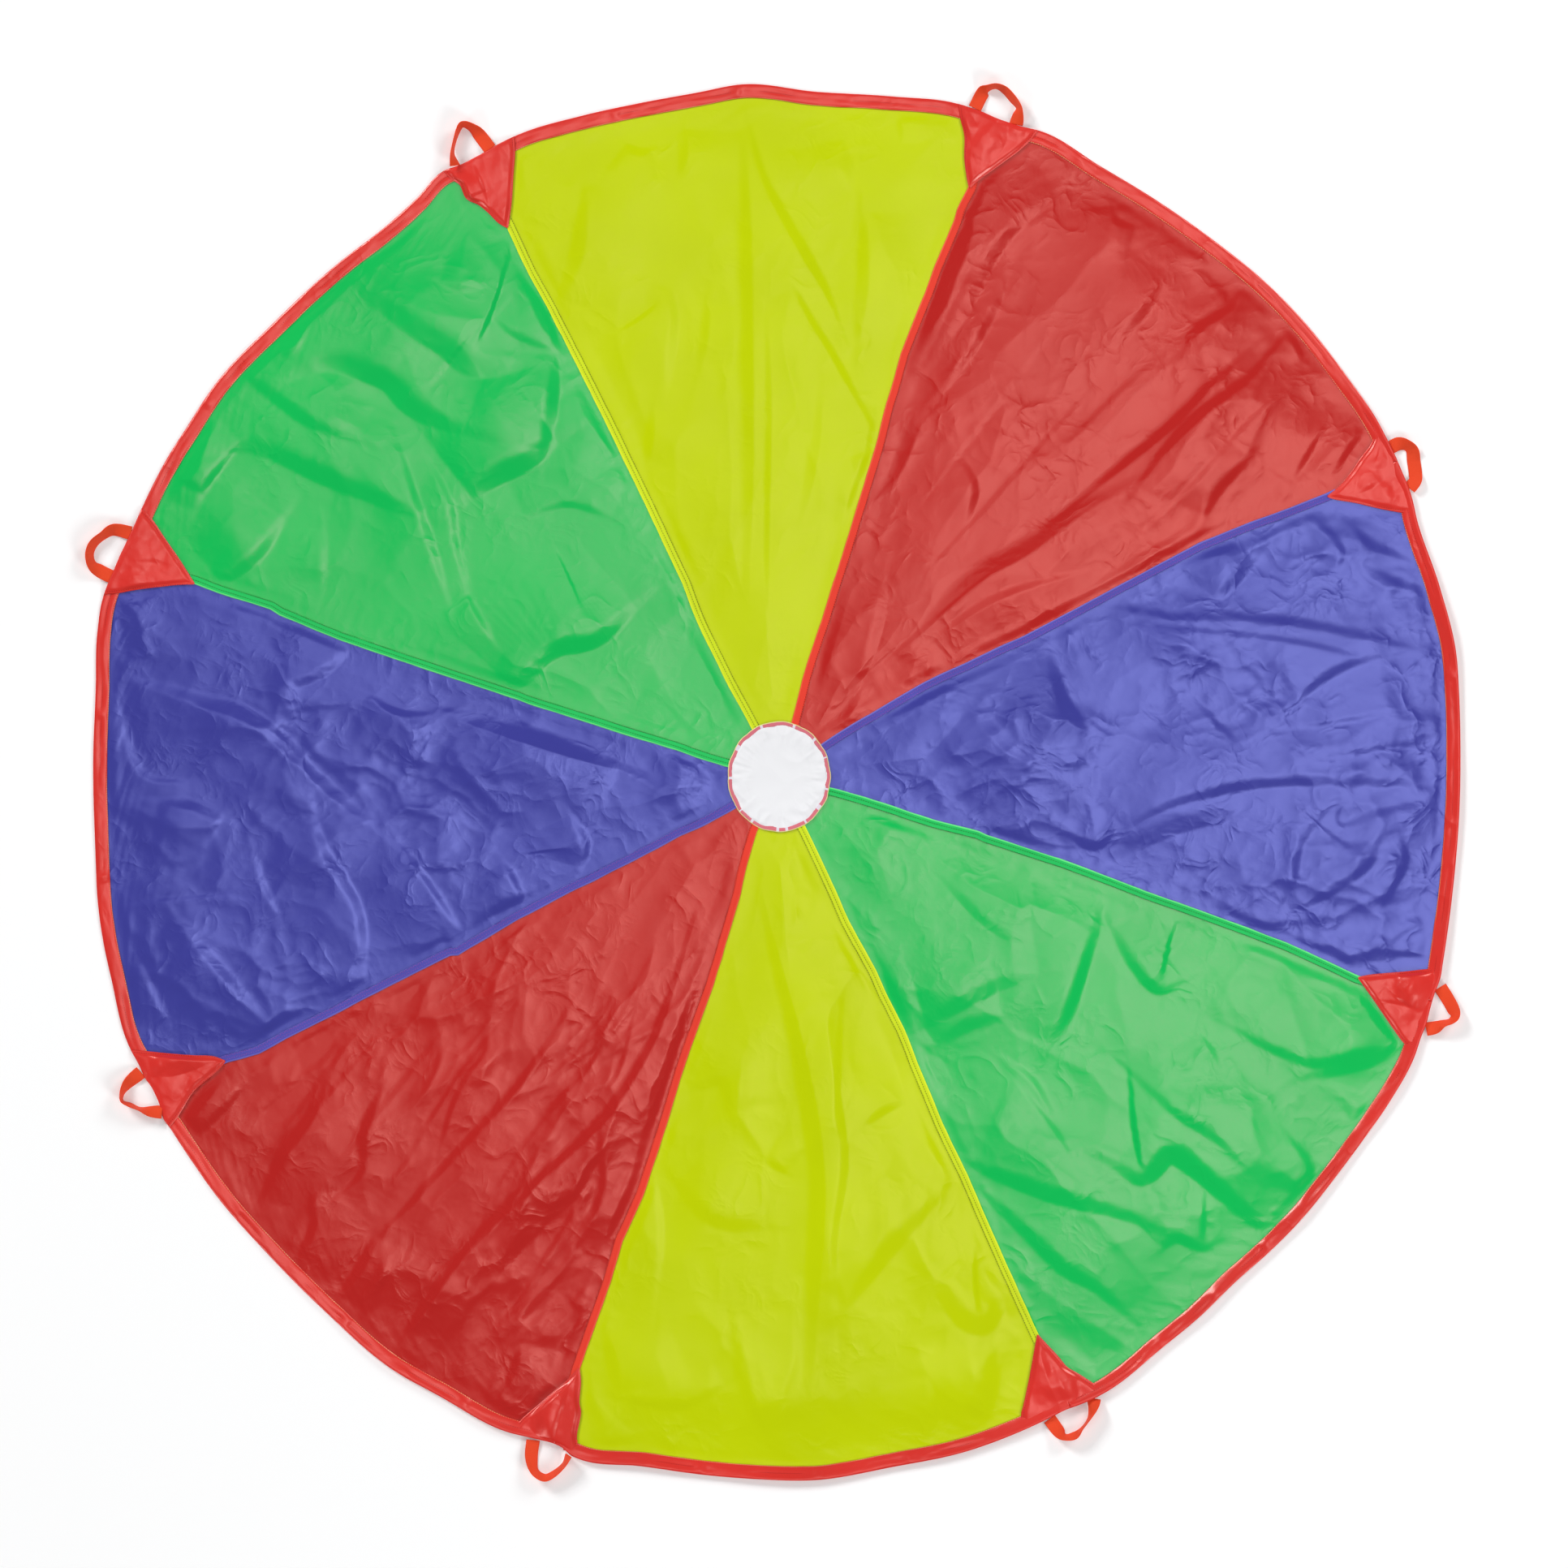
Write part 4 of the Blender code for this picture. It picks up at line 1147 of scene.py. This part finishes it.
def make_gore(index):
    """One gore, from under the vent's ring to inside the fold of the hem."""
    gore, corner, following = GORES[index], CORNERS[index], CORNERS[(index + 1) % 8]
    seed = 100 * (index + 1)
    angle, radius = gore_grid(index)
    points = around(angle, radius)
    from_start = (gore_angle(index, 0, radius) - angle) * radius
    from_end = (angle - gore_angle(index, 1, radius)) * radius
    from_rim = rim_radius(angle) - radius
    from_vent = radius - vent_radius(angle, 0)
    from_patch = np.minimum(patch_distance(points, corner), patch_distance(points, following))
    from_seam = np.minimum(from_start - SEAM_WIDTH, from_end)
    from_edge = np.minimum.reduce([from_seam, from_rim - HEM_WIDTH, from_vent, from_patch])
    crumple = crinkles(points, gore, seed)
    height = (crumple - crumple.mean()) * smooth(from_edge, RELIEF_START, 0.025)
    height += gore["swell"] * smooth(from_edge, 0.0, 0.110)
    # Shaded slopes face the rim, but in the two gores on the left they face the vent:
    # there the plain mean of the corners' degrees, or half a turn more, points that way.
    middle = math.radians((corner["seam_degrees"] + following["seam_degrees"]) / 2)
    if index == 7:
        middle += math.pi
    for fold in FOLDS[gore["name"]]:
        height += stroke(points, fold, (math.cos(middle), math.sin(middle)))
    height = softened(height.reshape(GORE_ROWS, GORE_COLUMNS)).ravel()
    # Puckers run square to the sewn edges and die away from them.
    at_seam = np.exp(-np.clip(from_seam, 0, None) / 0.022)
    at_rim = np.exp(-np.clip(from_rim - HEM_WIDTH, 0, None) / 0.035)
    pucker = noise(radius / 0.013, from_seam / 0.060, seed + 8) * at_seam
    pucker += noise(angle * radius / 0.016, from_rim / 0.080, seed + 9) * at_rim
    height += 0.00030 * pucker * smooth(from_edge, RELIEF_START, 0.006)
    height *= smooth(from_edge, RELIEF_START, 0.018)
    height = np.minimum(height, EDGE_SLOPE * np.clip(from_edge, 0, None))
    height = np.maximum(CLOTH_HEIGHT + height, LOWEST)
    # Past the seam's line the cloth runs on under the next gore.
    height -= UNDERLAP_DEPTH * smooth(-from_end, RELIEF_START, 0.002)
    quads = grid_faces(GORE_ROWS, GORE_COLUMNS)[:, ::-1]
    return add_mesh(f"gore_{gore['name']}", raised(points, height), quads, [colour_of(gore)])


# A seam strip across: distance from the seam's line and height over the strip's own
STRIP_PROFILE = (
    (-0.0015, -0.0009), (-0.0012, 0.0001), (0.0004, 0.0004), (0.0024, 0.0003), (0.0046, -0.0001),
    (0.0068, 0.0002), (0.0092, -0.0001), (0.0101, 0.0001),
    (SEAM_WIDTH - 0.0012, -0.0001), (SEAM_WIDTH - 0.0008, -0.0009),
)
STRIP_THICKNESS = 0.0004
# Each seam's colour, its thread, the thread's zigzag and its rows' distances from the seam's line
SEAMS = (
    ("yellow", "thread_dark", 0.0, (0.0044, 0.0101)),
    ("red", "thread_red", 0.0, (0.0094,)),
    ("blue", "thread_purple", 0.0014, (0.0034, 0.0082)),
    ("green", "thread_green", 0.0, (0.0040, 0.0099)),
)


def make_strip(index):
    """The felled seam: a band of doubled cloth with its stitch rows."""
    colour, thread, zigzag, distances = SEAMS[index % 4]
    count, columns = 260, len(STRIP_PROFILE) - 1
    line, right = seam_line(index, count)
    run = np.linspace(0, 1, count)
    frayed = noise(run * 30, 0.5, 60 + index) * 0.0005
    rows = []
    for k, (side, lift) in enumerate(STRIP_PROFILE):
        ripple = noise(run * 44, k * 0.35, 40 + index) * 0.0004
        wander = frayed * (side > 0.008 or side < 0)
        height = STRIP_HEIGHT + lift + np.clip(ripple, -0.0003, None)
        rows.append(raised(line + right * (side + wander)[:, None], height))
    vertices, quads = slab(np.stack(rows, axis=1)[:, ::-1], STRIP_THICKNESS)
    order = np.arange(len(quads))
    # The last two columns, along the seam's line, take the lighter edge colour, a painted highlight. The
    # rest takes the strip's colour with its painted sheen
    highlit_edge = (order < (count - 1) * columns) & (order % columns >= columns - 2)
    shapes = [(vertices, quads, np.where(highlit_edge, 2, 0))]
    for side in distances:
        row = raised(line + right * side, STRIP_HEIGHT + 0.0003)
        dashes = stitches(row, length=0.0030, gap=0.0006, width=0.0011, height=0.0004, zigzag=zigzag)
        shapes.append((*dashes, 1))
    return add_joined(f"seam_{index + 1}", shapes, (f"{colour}_strip", thread, f"{colour}_edge"))


# The hem in section: depth from the rim in hem widths, and height
HEM_PROFILE = (
    (1.00, 0.0018), (1.00, 0.0023), (0.97, 0.0026), (0.80, 0.0025), (0.62, 0.0026),
    (0.50, 0.0024), (0.34, 0.0027), (0.16, 0.0027), (0.03, 0.0025), (0.00, 0.0017),
    (0.01, 0.0004), (0.12, 0.0000), (0.60, 0.0000), (1.00, 0.0000), (1.00, 0.0005),
    (0.60, 0.0005), (0.14, 0.0005), (0.10, 0.0010), (0.14, 0.0017), (0.60, 0.0018),
)
# The lower face of the hem's upper half, and the least height of its upper face
HEM_UPPER = 0.0018
HEM_OUTSIDE = 0.0019
HEM_STANDING = 0.0062


def make_hem(index):
    """The rim's folded binding along one gore, with its stitch rows."""
    start = math.radians(CORNERS[index]["seam_degrees"])
    end = float(gore_angle(index, 1, np.array(2.0)))
    angles = np.linspace(start, end, 300)
    radii = rim_radius(angles)
    run = np.abs(angles - start)
    # On the picture's lower right the rim stands off the floor.
    standing = HEM_STANDING * smooth(np.cos(angles + math.pi / 4), -0.3, 0.6)
    standing = standing * (1 + 0.5 * noise(run * 6, 0.0, 580 + index))
    sections = []
    for k, (depth, height) in enumerate(HEM_PROFILE):
        wave = noise(run * 30, 0.5, 520 + index) * 0.0004 * (depth >= 0.9)
        place = around(angles, radii - depth * HEM_WIDTH + wave)
        lift = height
        if height > HEM_OUTSIDE:
            puff = 1 + 0.35 * noise(run * 26, k * 0.3, 500 + index)
            kink = 1 - np.abs(noise(run * 11, depth * 1.3, 540 + index)) * 2
            kink += 0.5 * noise(run * 38, depth * 2.4, 560 + index)
            folded = sum(stroke(place, crease, rise_length=0.012) for crease in HEM_CREASES)
            arch = math.sin(math.pi * depth)
            risen = (height - HEM_UPPER) * puff + HEM_UPPER + (0.0009 * kink + folded) * arch
            lift = np.maximum(risen, HEM_OUTSIDE)
        lift = lift + standing * (1 - depth) * (1.0 if height > 0.0012 else 0.4)
        sections.append(raised(place, lift))
    shapes = [(*tube(np.stack(sections, axis=1)), 0)]
    for depth, material, height in ((0.50, 1, 0.0026), (0.965, 2, 0.0027)):
        row = raised(around(angles, radii - depth * HEM_WIDTH), height + standing * (1 - depth))
        dashes = stitches(row, length=0.0028, gap=0.0007, width=0.0006, height=0.0003)
        shapes.append((*dashes, material))
    return add_joined(f"hem_{index + 1}", shapes, ("rim", "thread_red", "thread_cream"))


PATCH_THICKNESS = 0.0006
PATCH_DEPTH = 0.1


def make_patch(index):
    """A corner patch of doubled cloth, with creases, turned edges and stitching."""
    corner = CORNERS[index]
    edge, tip = corner["edge"], corner["tip"]
    rows, columns = 70, 60
    left = curve_through(placed([edge[0], *corner["left"], tip]), rows)[:-1]
    right = curve_through(placed([edge[-1], *corner["right"], tip]), rows)[:-1]
    rim = curve_through(placed(edge), columns)
    u = np.linspace(0, 1, rows)[:-1, None, None]
    v = np.linspace(0, 1, columns)[None, :, None]
    straight = rim[None, :1] * (1 - v) + rim[None, -1:] * v
    flat = left[:, None] * (1 - v) + right[:, None] * v
    points = (flat + (1 - u) ** 3 * (rim[None] - straight)).reshape(-1, 2)
    to_side = np.minimum(v, 1 - v) * np.linalg.norm(left - right, axis=1)[:, None, None]
    to_tip, to_rim = (1 - u) * PATCH_DEPTH + 0 * v, (u * PATCH_DEPTH + 0 * v).ravel()
    inner = np.minimum(to_side, to_tip).ravel()
    relief = sum(stroke(points, crease, rise_length=0.030) for crease in corner["creases"])
    x, y = points.T
    relief += 0.0009 * (1 + noise(x / 0.035, y / 0.035, 700 + index))
    relief += 0.0003 * noise(x / 0.012, y / 0.012, 720 + index)
    free = smooth(inner, 0.001, 0.009) * smooth(to_rim, -0.002, 0.006)
    height = PATCH_EDGE_HEIGHT + (PATCH_HEIGHT - PATCH_EDGE_HEIGHT) * smooth(inner, 0.000, 0.011)
    height = height + relief * free
    # The edges are turned under, which makes them a little thicker.
    height = height - 0.00025 * (smooth(inner, 0.0022, 0.0036) - 1)
    top = raised(points, height).reshape(rows - 1, columns, 3)
    vertices, quads = slab(top, PATCH_THICKNESS)
    vertices[len(points) :, 2] = np.minimum(vertices[len(points) :, 2], PATCH_HEIGHT)
    shapes = [(vertices, quads, 0)]
    for column in (2, columns - 3):
        row = top[1:-3, column] + (0, 0, 0.0002)
        dashes = stitches(row, length=0.0026, gap=0.0008, width=0.0006, height=0.0003)
        shapes.append((*dashes, 1))
    return add_joined(f"patch_{index + 1}", shapes, ("rim", "thread_red"))


def ribbon(centre, across, thickness):
    """A woven tape through centre points, with the direction across it at each: vertices, quads and uv."""
    shares = (-1.0, -0.96, -0.7, -0.35, 0.0, 0.35, 0.7, 0.96, 1.0)
    half = WEBBING_WIDTH / 2
    normal = unit(np.cross(ahead_of(centre), across))
    run = run_of(centre)
    ring, uv = [], []
    for way in (1, -1):
        for share in shares[::way]:
            bulge = thickness / 2 * (0.35 if abs(share) == 1 else 1.0)
            ring.append(centre + across * half * share + normal * bulge * way)
            uv.append(np.stack([run, np.full(len(run), share * half)], axis=1))
    vertices, quads = tube(np.stack(ring, axis=1))
    return vertices, quads, np.stack(uv, axis=1).reshape(-1, 2)


def make_loop(index):
    """The free loop of a handle, flat at its feet and turned up on its edge further out."""
    line = curve_through([(*placed((x, y)), tilt) for x, y, tilt in HANDLES[index]], 110)
    plan, tilt = line[:, :2], np.radians(np.clip(line[:, 2], 0, 86))
    across = raised(-right_of(ahead_of(plan)) * np.cos(tilt)[:, None], np.sin(tilt))
    share = np.linspace(0, 1, len(line))
    foot = 1 - smooth(np.minimum(share, 1 - share), 0.0, 0.30)
    low = np.sin(tilt) * WEBBING_WIDTH / 2 + WEBBING_THICKNESS / 2
    centre = raised(plan, low + END_HEIGHT * foot - 0.0004 * foot)
    vertices, quads, uv = ribbon(centre, across, WEBBING_THICKNESS)
    vertices[:, 2] = np.maximum(vertices[:, 2], 0.0001)
    return add_mesh(f"loop_{index + 1}", vertices, quads, ["webbing"], uv=uv)


# A sewn end: half the length that is shown, and how much narrower and thinner it is pressed
END_HALF = 0.010
END_NARROWER = 0.8
END_THINNER = 0.7


def make_end(index, side):
    """The end of a handle's webbing, sewn down between the hem and the patch."""
    node = f"handle_end_{index + 1}_{side}"
    low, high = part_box(node)
    middle = np.array([(low.x + high.x) / 2, (low.y + high.y) / 2])
    edge = placed(CORNERS[index]["edge"])
    along = edge[-1] - edge[0]
    along /= np.linalg.norm(along)
    inward = np.array([-along[1], along[0]])
    if inward @ middle > 0:
        inward = -inward
    centre = raised(middle + inward * np.linspace(-END_HALF, END_HALF, 12)[:, None], END_HEIGHT)
    across = np.tile([*along, 0.0], (len(centre), 1)) * END_NARROWER
    vertices, quads, uv = ribbon(centre, across, WEBBING_THICKNESS * END_THINNER)
    piece = add_mesh(f"webbing_end_{index + 1}_{side}", vertices, quads, ["webbing"], uv=uv)
    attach(piece, "canopy")
    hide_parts(node)


def ragged(angles):
    """How far the vent's sewn edge strays at each angle."""
    return noise(angles * 4, 0.0, 900) * 0.0006 + noise(angles * 11, 0.0, 901) * 0.0003


def make_cover():
    """The crinkled white cover of the vent."""
    rows, columns = 60, 220
    angles = np.linspace(0, 2 * math.pi, columns, endpoint=False)
    shares = np.linspace(0.02, 1, rows)[:, None]
    points = around(angles, shares * (vent_radius(angles, -0.0045) + ragged(angles)))
    x, y = points[..., 0], points[..., 1]
    spread = smooth(shares, 0.45, 0.9)
    height = 0.0012 + 0.0022 * (1 - np.abs(noise(x / 0.045 + 7, y / 0.045, 902)))
    height += 0.0024 * (1 - np.abs(noise(x / 0.022, y / 0.022, 903))) * spread
    folds = noise(angles * 5.1, shares * 2.2, 904) + 0.5 * noise(angles * 12, shares * 3, 905)
    height += 0.0014 * folds * spread
    bound = smooth(shares, 0.94, 1.0)
    height = np.maximum(height, 0.0008) * (1 - bound) + RING_HEIGHT * bound
    hub = (0, 0, float(height[0].mean()))
    vertices = np.concatenate([raised(points.reshape(-1, 2), height.ravel()), [hub]])
    k = np.arange(0, columns, 2)
    fan = np.stack([np.full(len(k), rows * columns), k, (k + 1) % columns, (k + 2) % columns], axis=1)
    quads = np.concatenate([grid_faces(rows, columns, closed=True), fan[:, ::-1]])
    return add_mesh("vent_disc", vertices, quads, ["vent_white"])


# The vent's binding in section: depth from its outer edge, and height over its own
BINDING_PROFILE = (
    (0.0, -0.0010), (0.0002, 0.0002), (0.0012, 0.0006), (0.0030, 0.0005),
    (0.0050, 0.0007), (0.0060, 0.0004), (0.0064, -0.0004),
)
BINDING_THICKNESS = 0.0006
BINDING_RADIUS = 0.077
# Where white cloth is tucked over the binding: direction in degrees and width in millimetres
VENT_TABS = (
    (109, 4.5), (73, 4.0), (46, 4.5), (145, 9.0), (181, 4.5), (22, 2.5), (-15, 4.0),
    (-38, 8.0), (-60, 4.0), (-82, 4.5), (-92, 4.0), (-122, 4.0), (-139, 2.5),
)


def make_binding():
    """The ring that binds the vent's edge, with its tabs and its cream edge line."""
    angles = np.linspace(0, 2 * math.pi, 480, endpoint=False)
    facet = 0.0009 * np.cos(angles * 13)
    shape = []
    for depth, lift in BINDING_PROFILE:
        radius = vent_radius(angles, -depth) + ragged(angles) + facet * (0.5 if depth < 0.003 else 1)
        pucker = noise(angles * 22, depth * 300, 910) * 0.0004
        shape.append(raised(around(angles, radius), RING_HEIGHT + lift + pucker))
    under = [line - (0, 0, BINDING_THICKNESS) for line in shape[::-1]]
    sections = np.stack(shape + under, axis=1)
    rows, columns = sections.shape[:2]
    quads = grid_faces(rows, columns, closed=True, ring=True)
    place = np.degrees(angles[quads[:, 0] // columns])
    indices = np.zeros(len(quads), int)
    for degrees, millimetres in VENT_TABS:
        half = math.degrees(millimetres / 2000 / BINDING_RADIUS)
        indices[np.abs((place - degrees + 180) % 360 - 180) < half] = 1
    indices[np.isin(quads[:, 0] % columns, (0, 1))] = 2
    names = ("vent_pink", "vent_tab", "thread_cream")
    return add_mesh("vent_ring", sections.reshape(-1, 3), quads, names, indices)


# How each gore would bend when the crown is lifted: main works out these lines, and nothing uses them


def lift_lines():
    """A start and an end point for each gore, with neighbours nearly agreeing along their shared seam."""
    rows, values = [], []

    def row(gore, point, weight):
        line = np.zeros(24)
        line[3 * gore : 3 * gore + 3] = np.array([*point, 1.0]) * weight
        return line

    for seam in range(8):
        before = (seam - 1) % 8
        for reach in np.linspace(LIFT_INNER, LIFT_OUTER, 14):
            angle = float(seam_angle(seam, reach))
            point = (math.cos(angle) * reach, math.sin(angle) * reach)
            rows.append(row(seam, point, 1.0) + row(before, point, -1.0))
            values.append(LIFT_LEAN * reach)
            for gore in (seam, before):
                rows.append(row(gore, point, LIFT_SHAPE_WEIGHT))
                values.append(LIFT_SHAPE_WEIGHT * (LIFT_OUTER - reach) / (LIFT_OUTER - LIFT_INNER))
    planes = np.linalg.lstsq(np.array(rows), np.array(values), rcond=None)[0].reshape(8, 3)
    lines = []
    for x, y, constant in planes:
        slope = np.array([x, y])
        start = -constant * slope / (slope @ slope)
        end = start + slope / (slope @ slope)
        lines.append(((*start, 0.0), (*end, 0.0)))
    return lines


# The stage


# Soft boxes that face straight down, brightest on the right: place, width in metres and
# power in watts. Their uneven pattern is what the satin shows as sheen.
OVERHEAD_HEIGHT = 20.0
SOFT_BOXES = (
    ((0.8, 2.2), 8.0, 176),
    ((2.7, 0.6), 3.4, 96),
    ((2.3, -2.1), 2.8, 88),
    ((0.8, 2.0), 1.8, 26),
    ((5.2, -0.3), 2.4, 54),
    ((-1.9, -0.7), 1.4, 9),
    ((-3.2, 2.9), 2.8, 23),
    ((-2.0, -2.5), 2.0, 13),
    ((0.5, -0.9), 1.2, 9),
    ((-0.9, 4.0), 1.6, 11),
)
# How much lower each soft box hangs than the one before, so that none covers another
OVERHEAD_STEP = 0.15

# The lamps around, each with its place, width and power
SIDE_LAMPS = (
    ((-9.4, 9.0, 8.0), 4.2, 1380),
    ((5.2, -5.0, 4.3), 2.7, 262),
    ((-9.4, -9.6, 8.0), 5.0, 460),
    ((5.2, 5.0, 4.3), 2.7, 232),
)
FILL_COLOUR = (0.96, 0.98, 1.0, 1)
FILL_STRENGTH = 0.12
FLOOR_HALF = 14.0
FLOOR_COLOUR = (0.97, 0.97, 0.97, 1)
FLOOR_GLOW = 0.07
CAMERA_HEIGHT = 10.0


def add_object(name, data, place=(0.0, 0.0, 0.0)):
    """A new object in the scene."""
    obj = bpy.data.objects.new(name, data)
    obj.location = place
    bpy.context.scene.collection.objects.link(obj)
    return obj


def add_lamp(place, size, power, target):
    """A square soft lamp turned towards a point."""
    lamp = bpy.data.lights.new("lamp", "AREA")
    lamp.shape = "SQUARE"
    lamp.size = size
    lamp.energy = power
    x, y, z = np.array(target) - np.array(place)
    turn = (math.atan2(math.hypot(x, y), -z), 0.0, math.atan2(y, x) - math.pi / 2)
    add_object("lamp", lamp, place).rotation_euler = turn


def add_lights():
    """Soft boxes overhead, a lamp from the upper left that casts the shadow, and fill around."""
    for index, ((x, y), size, power) in enumerate(SOFT_BOXES):
        add_lamp((x, y, OVERHEAD_HEIGHT - index * OVERHEAD_STEP), size, power, (x, y, 0.0))
    for place, size, power in SIDE_LAMPS:
        add_lamp(place, size, power, (0.0, 0.0, 0.0))


def add_world():
    """Grey fill on the object, and a pale ground where the camera sees past the floor."""
    world = bpy.data.worlds.new("studio")
    world.use_nodes = True
    tree = world.node_tree
    grey = tree.nodes["Background"]
    feed(tree, grey, {"Color": FILL_COLOUR, "Strength": FILL_STRENGTH})
    pale = add_node(tree, "Background", {"Strength": 1.0})
    seen = add_node(tree, "LightPath", {}).outputs["Is Camera Ray"]
    shaders = {"Fac": seen, 1: grey.outputs["Background"], 2: pale.outputs["Background"]}
    mixed = add_node(tree, "MixShader", shaders)
    feed(tree, tree.nodes["World Output"], {"Surface": mixed.outputs["Shader"]})
    bpy.context.scene.world = world


def floor_material():
    """A pale floor that keeps the object's shadow, and glows a little to the camera and in gloss."""
    material = bpy.data.materials.new("pale_floor")
    material.use_nodes = True
    tree = material.node_tree
    tree.nodes.remove(tree.nodes["Principled BSDF"])
    diffuse = add_node(tree, "BsdfDiffuse", {"Color": FLOOR_COLOUR})
    seen = add_node(tree, "LightPath", {}).outputs
    shown = add_math(tree, "MAXIMUM", seen["Is Camera Ray"], seen["Is Glossy Ray"])
    glow = add_node(tree, "Emission", {"Strength": add_math(tree, "MULTIPLY", shown, FLOOR_GLOW)})
    added = add_node(tree, "AddShader", {0: diffuse.outputs["BSDF"], 1: glow.outputs["Emission"]})
    feed(tree, tree.nodes["Material Output"], {"Surface": added.outputs["Shader"]})
    return material


def add_floor():
    """The floor that the parachute is laid on."""
    mesh = bpy.data.meshes.new("floor")
    corners = [(x * FLOOR_HALF, y * FLOOR_HALF, 0) for x, y in ((-1, -1), (1, -1), (1, 1), (-1, 1))]
    mesh.from_pydata(corners, [], [(0, 1, 2, 3)])
    mesh.materials.append(floor_material())
    add_object("floor", mesh)


def add_camera():
    """Straight above, framed as the photograph is."""
    camera = bpy.data.cameras.new("overhead")
    camera.sensor_fit = "HORIZONTAL"
    camera.angle = 2 * math.atan(PHOTO_SIZE * PIXEL / 2 / CAMERA_HEIGHT)
    place = (*placed(PHOTO_CENTRE), CAMERA_HEIGHT)
    bpy.context.scene.camera = add_object("overhead", camera, place)


def main():
    """Sets the stage, and puts a finished piece in the place of every node."""
    bpy.context.scene.view_settings.view_transform = "Standard"
    add_camera()
    add_lights()
    add_world()
    add_floor()
    lines = lift_lines()
    for index, gore in enumerate(GORES):
        cloth = make_gore(index)
        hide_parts(f"panel_{gore['name']}")
        strip = make_strip(index)
        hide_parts(f"seam_strip_{index + 1}")
        hem = make_hem(index)
        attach(hem, "canopy")
        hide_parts(f"hem_binding_{index + 1}")
        patch = make_patch(index)
        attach(patch, "canopy")
        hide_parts(f"corner_patch_{index + 1}")
        for side in "ab":
            make_end(index, side)
        loop = make_loop(index)
        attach(loop, f"handle_{index + 1}")
        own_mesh(loop)
        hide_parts(f"handle_loop_{index + 1}")
        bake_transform(cloth)
        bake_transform(strip)
    cover, ring = make_cover(), make_binding()
    for piece, node in ((cover, "vent_cover"), (ring, "vent_binding")):
        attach(piece, "crown")
        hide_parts(node)


main()
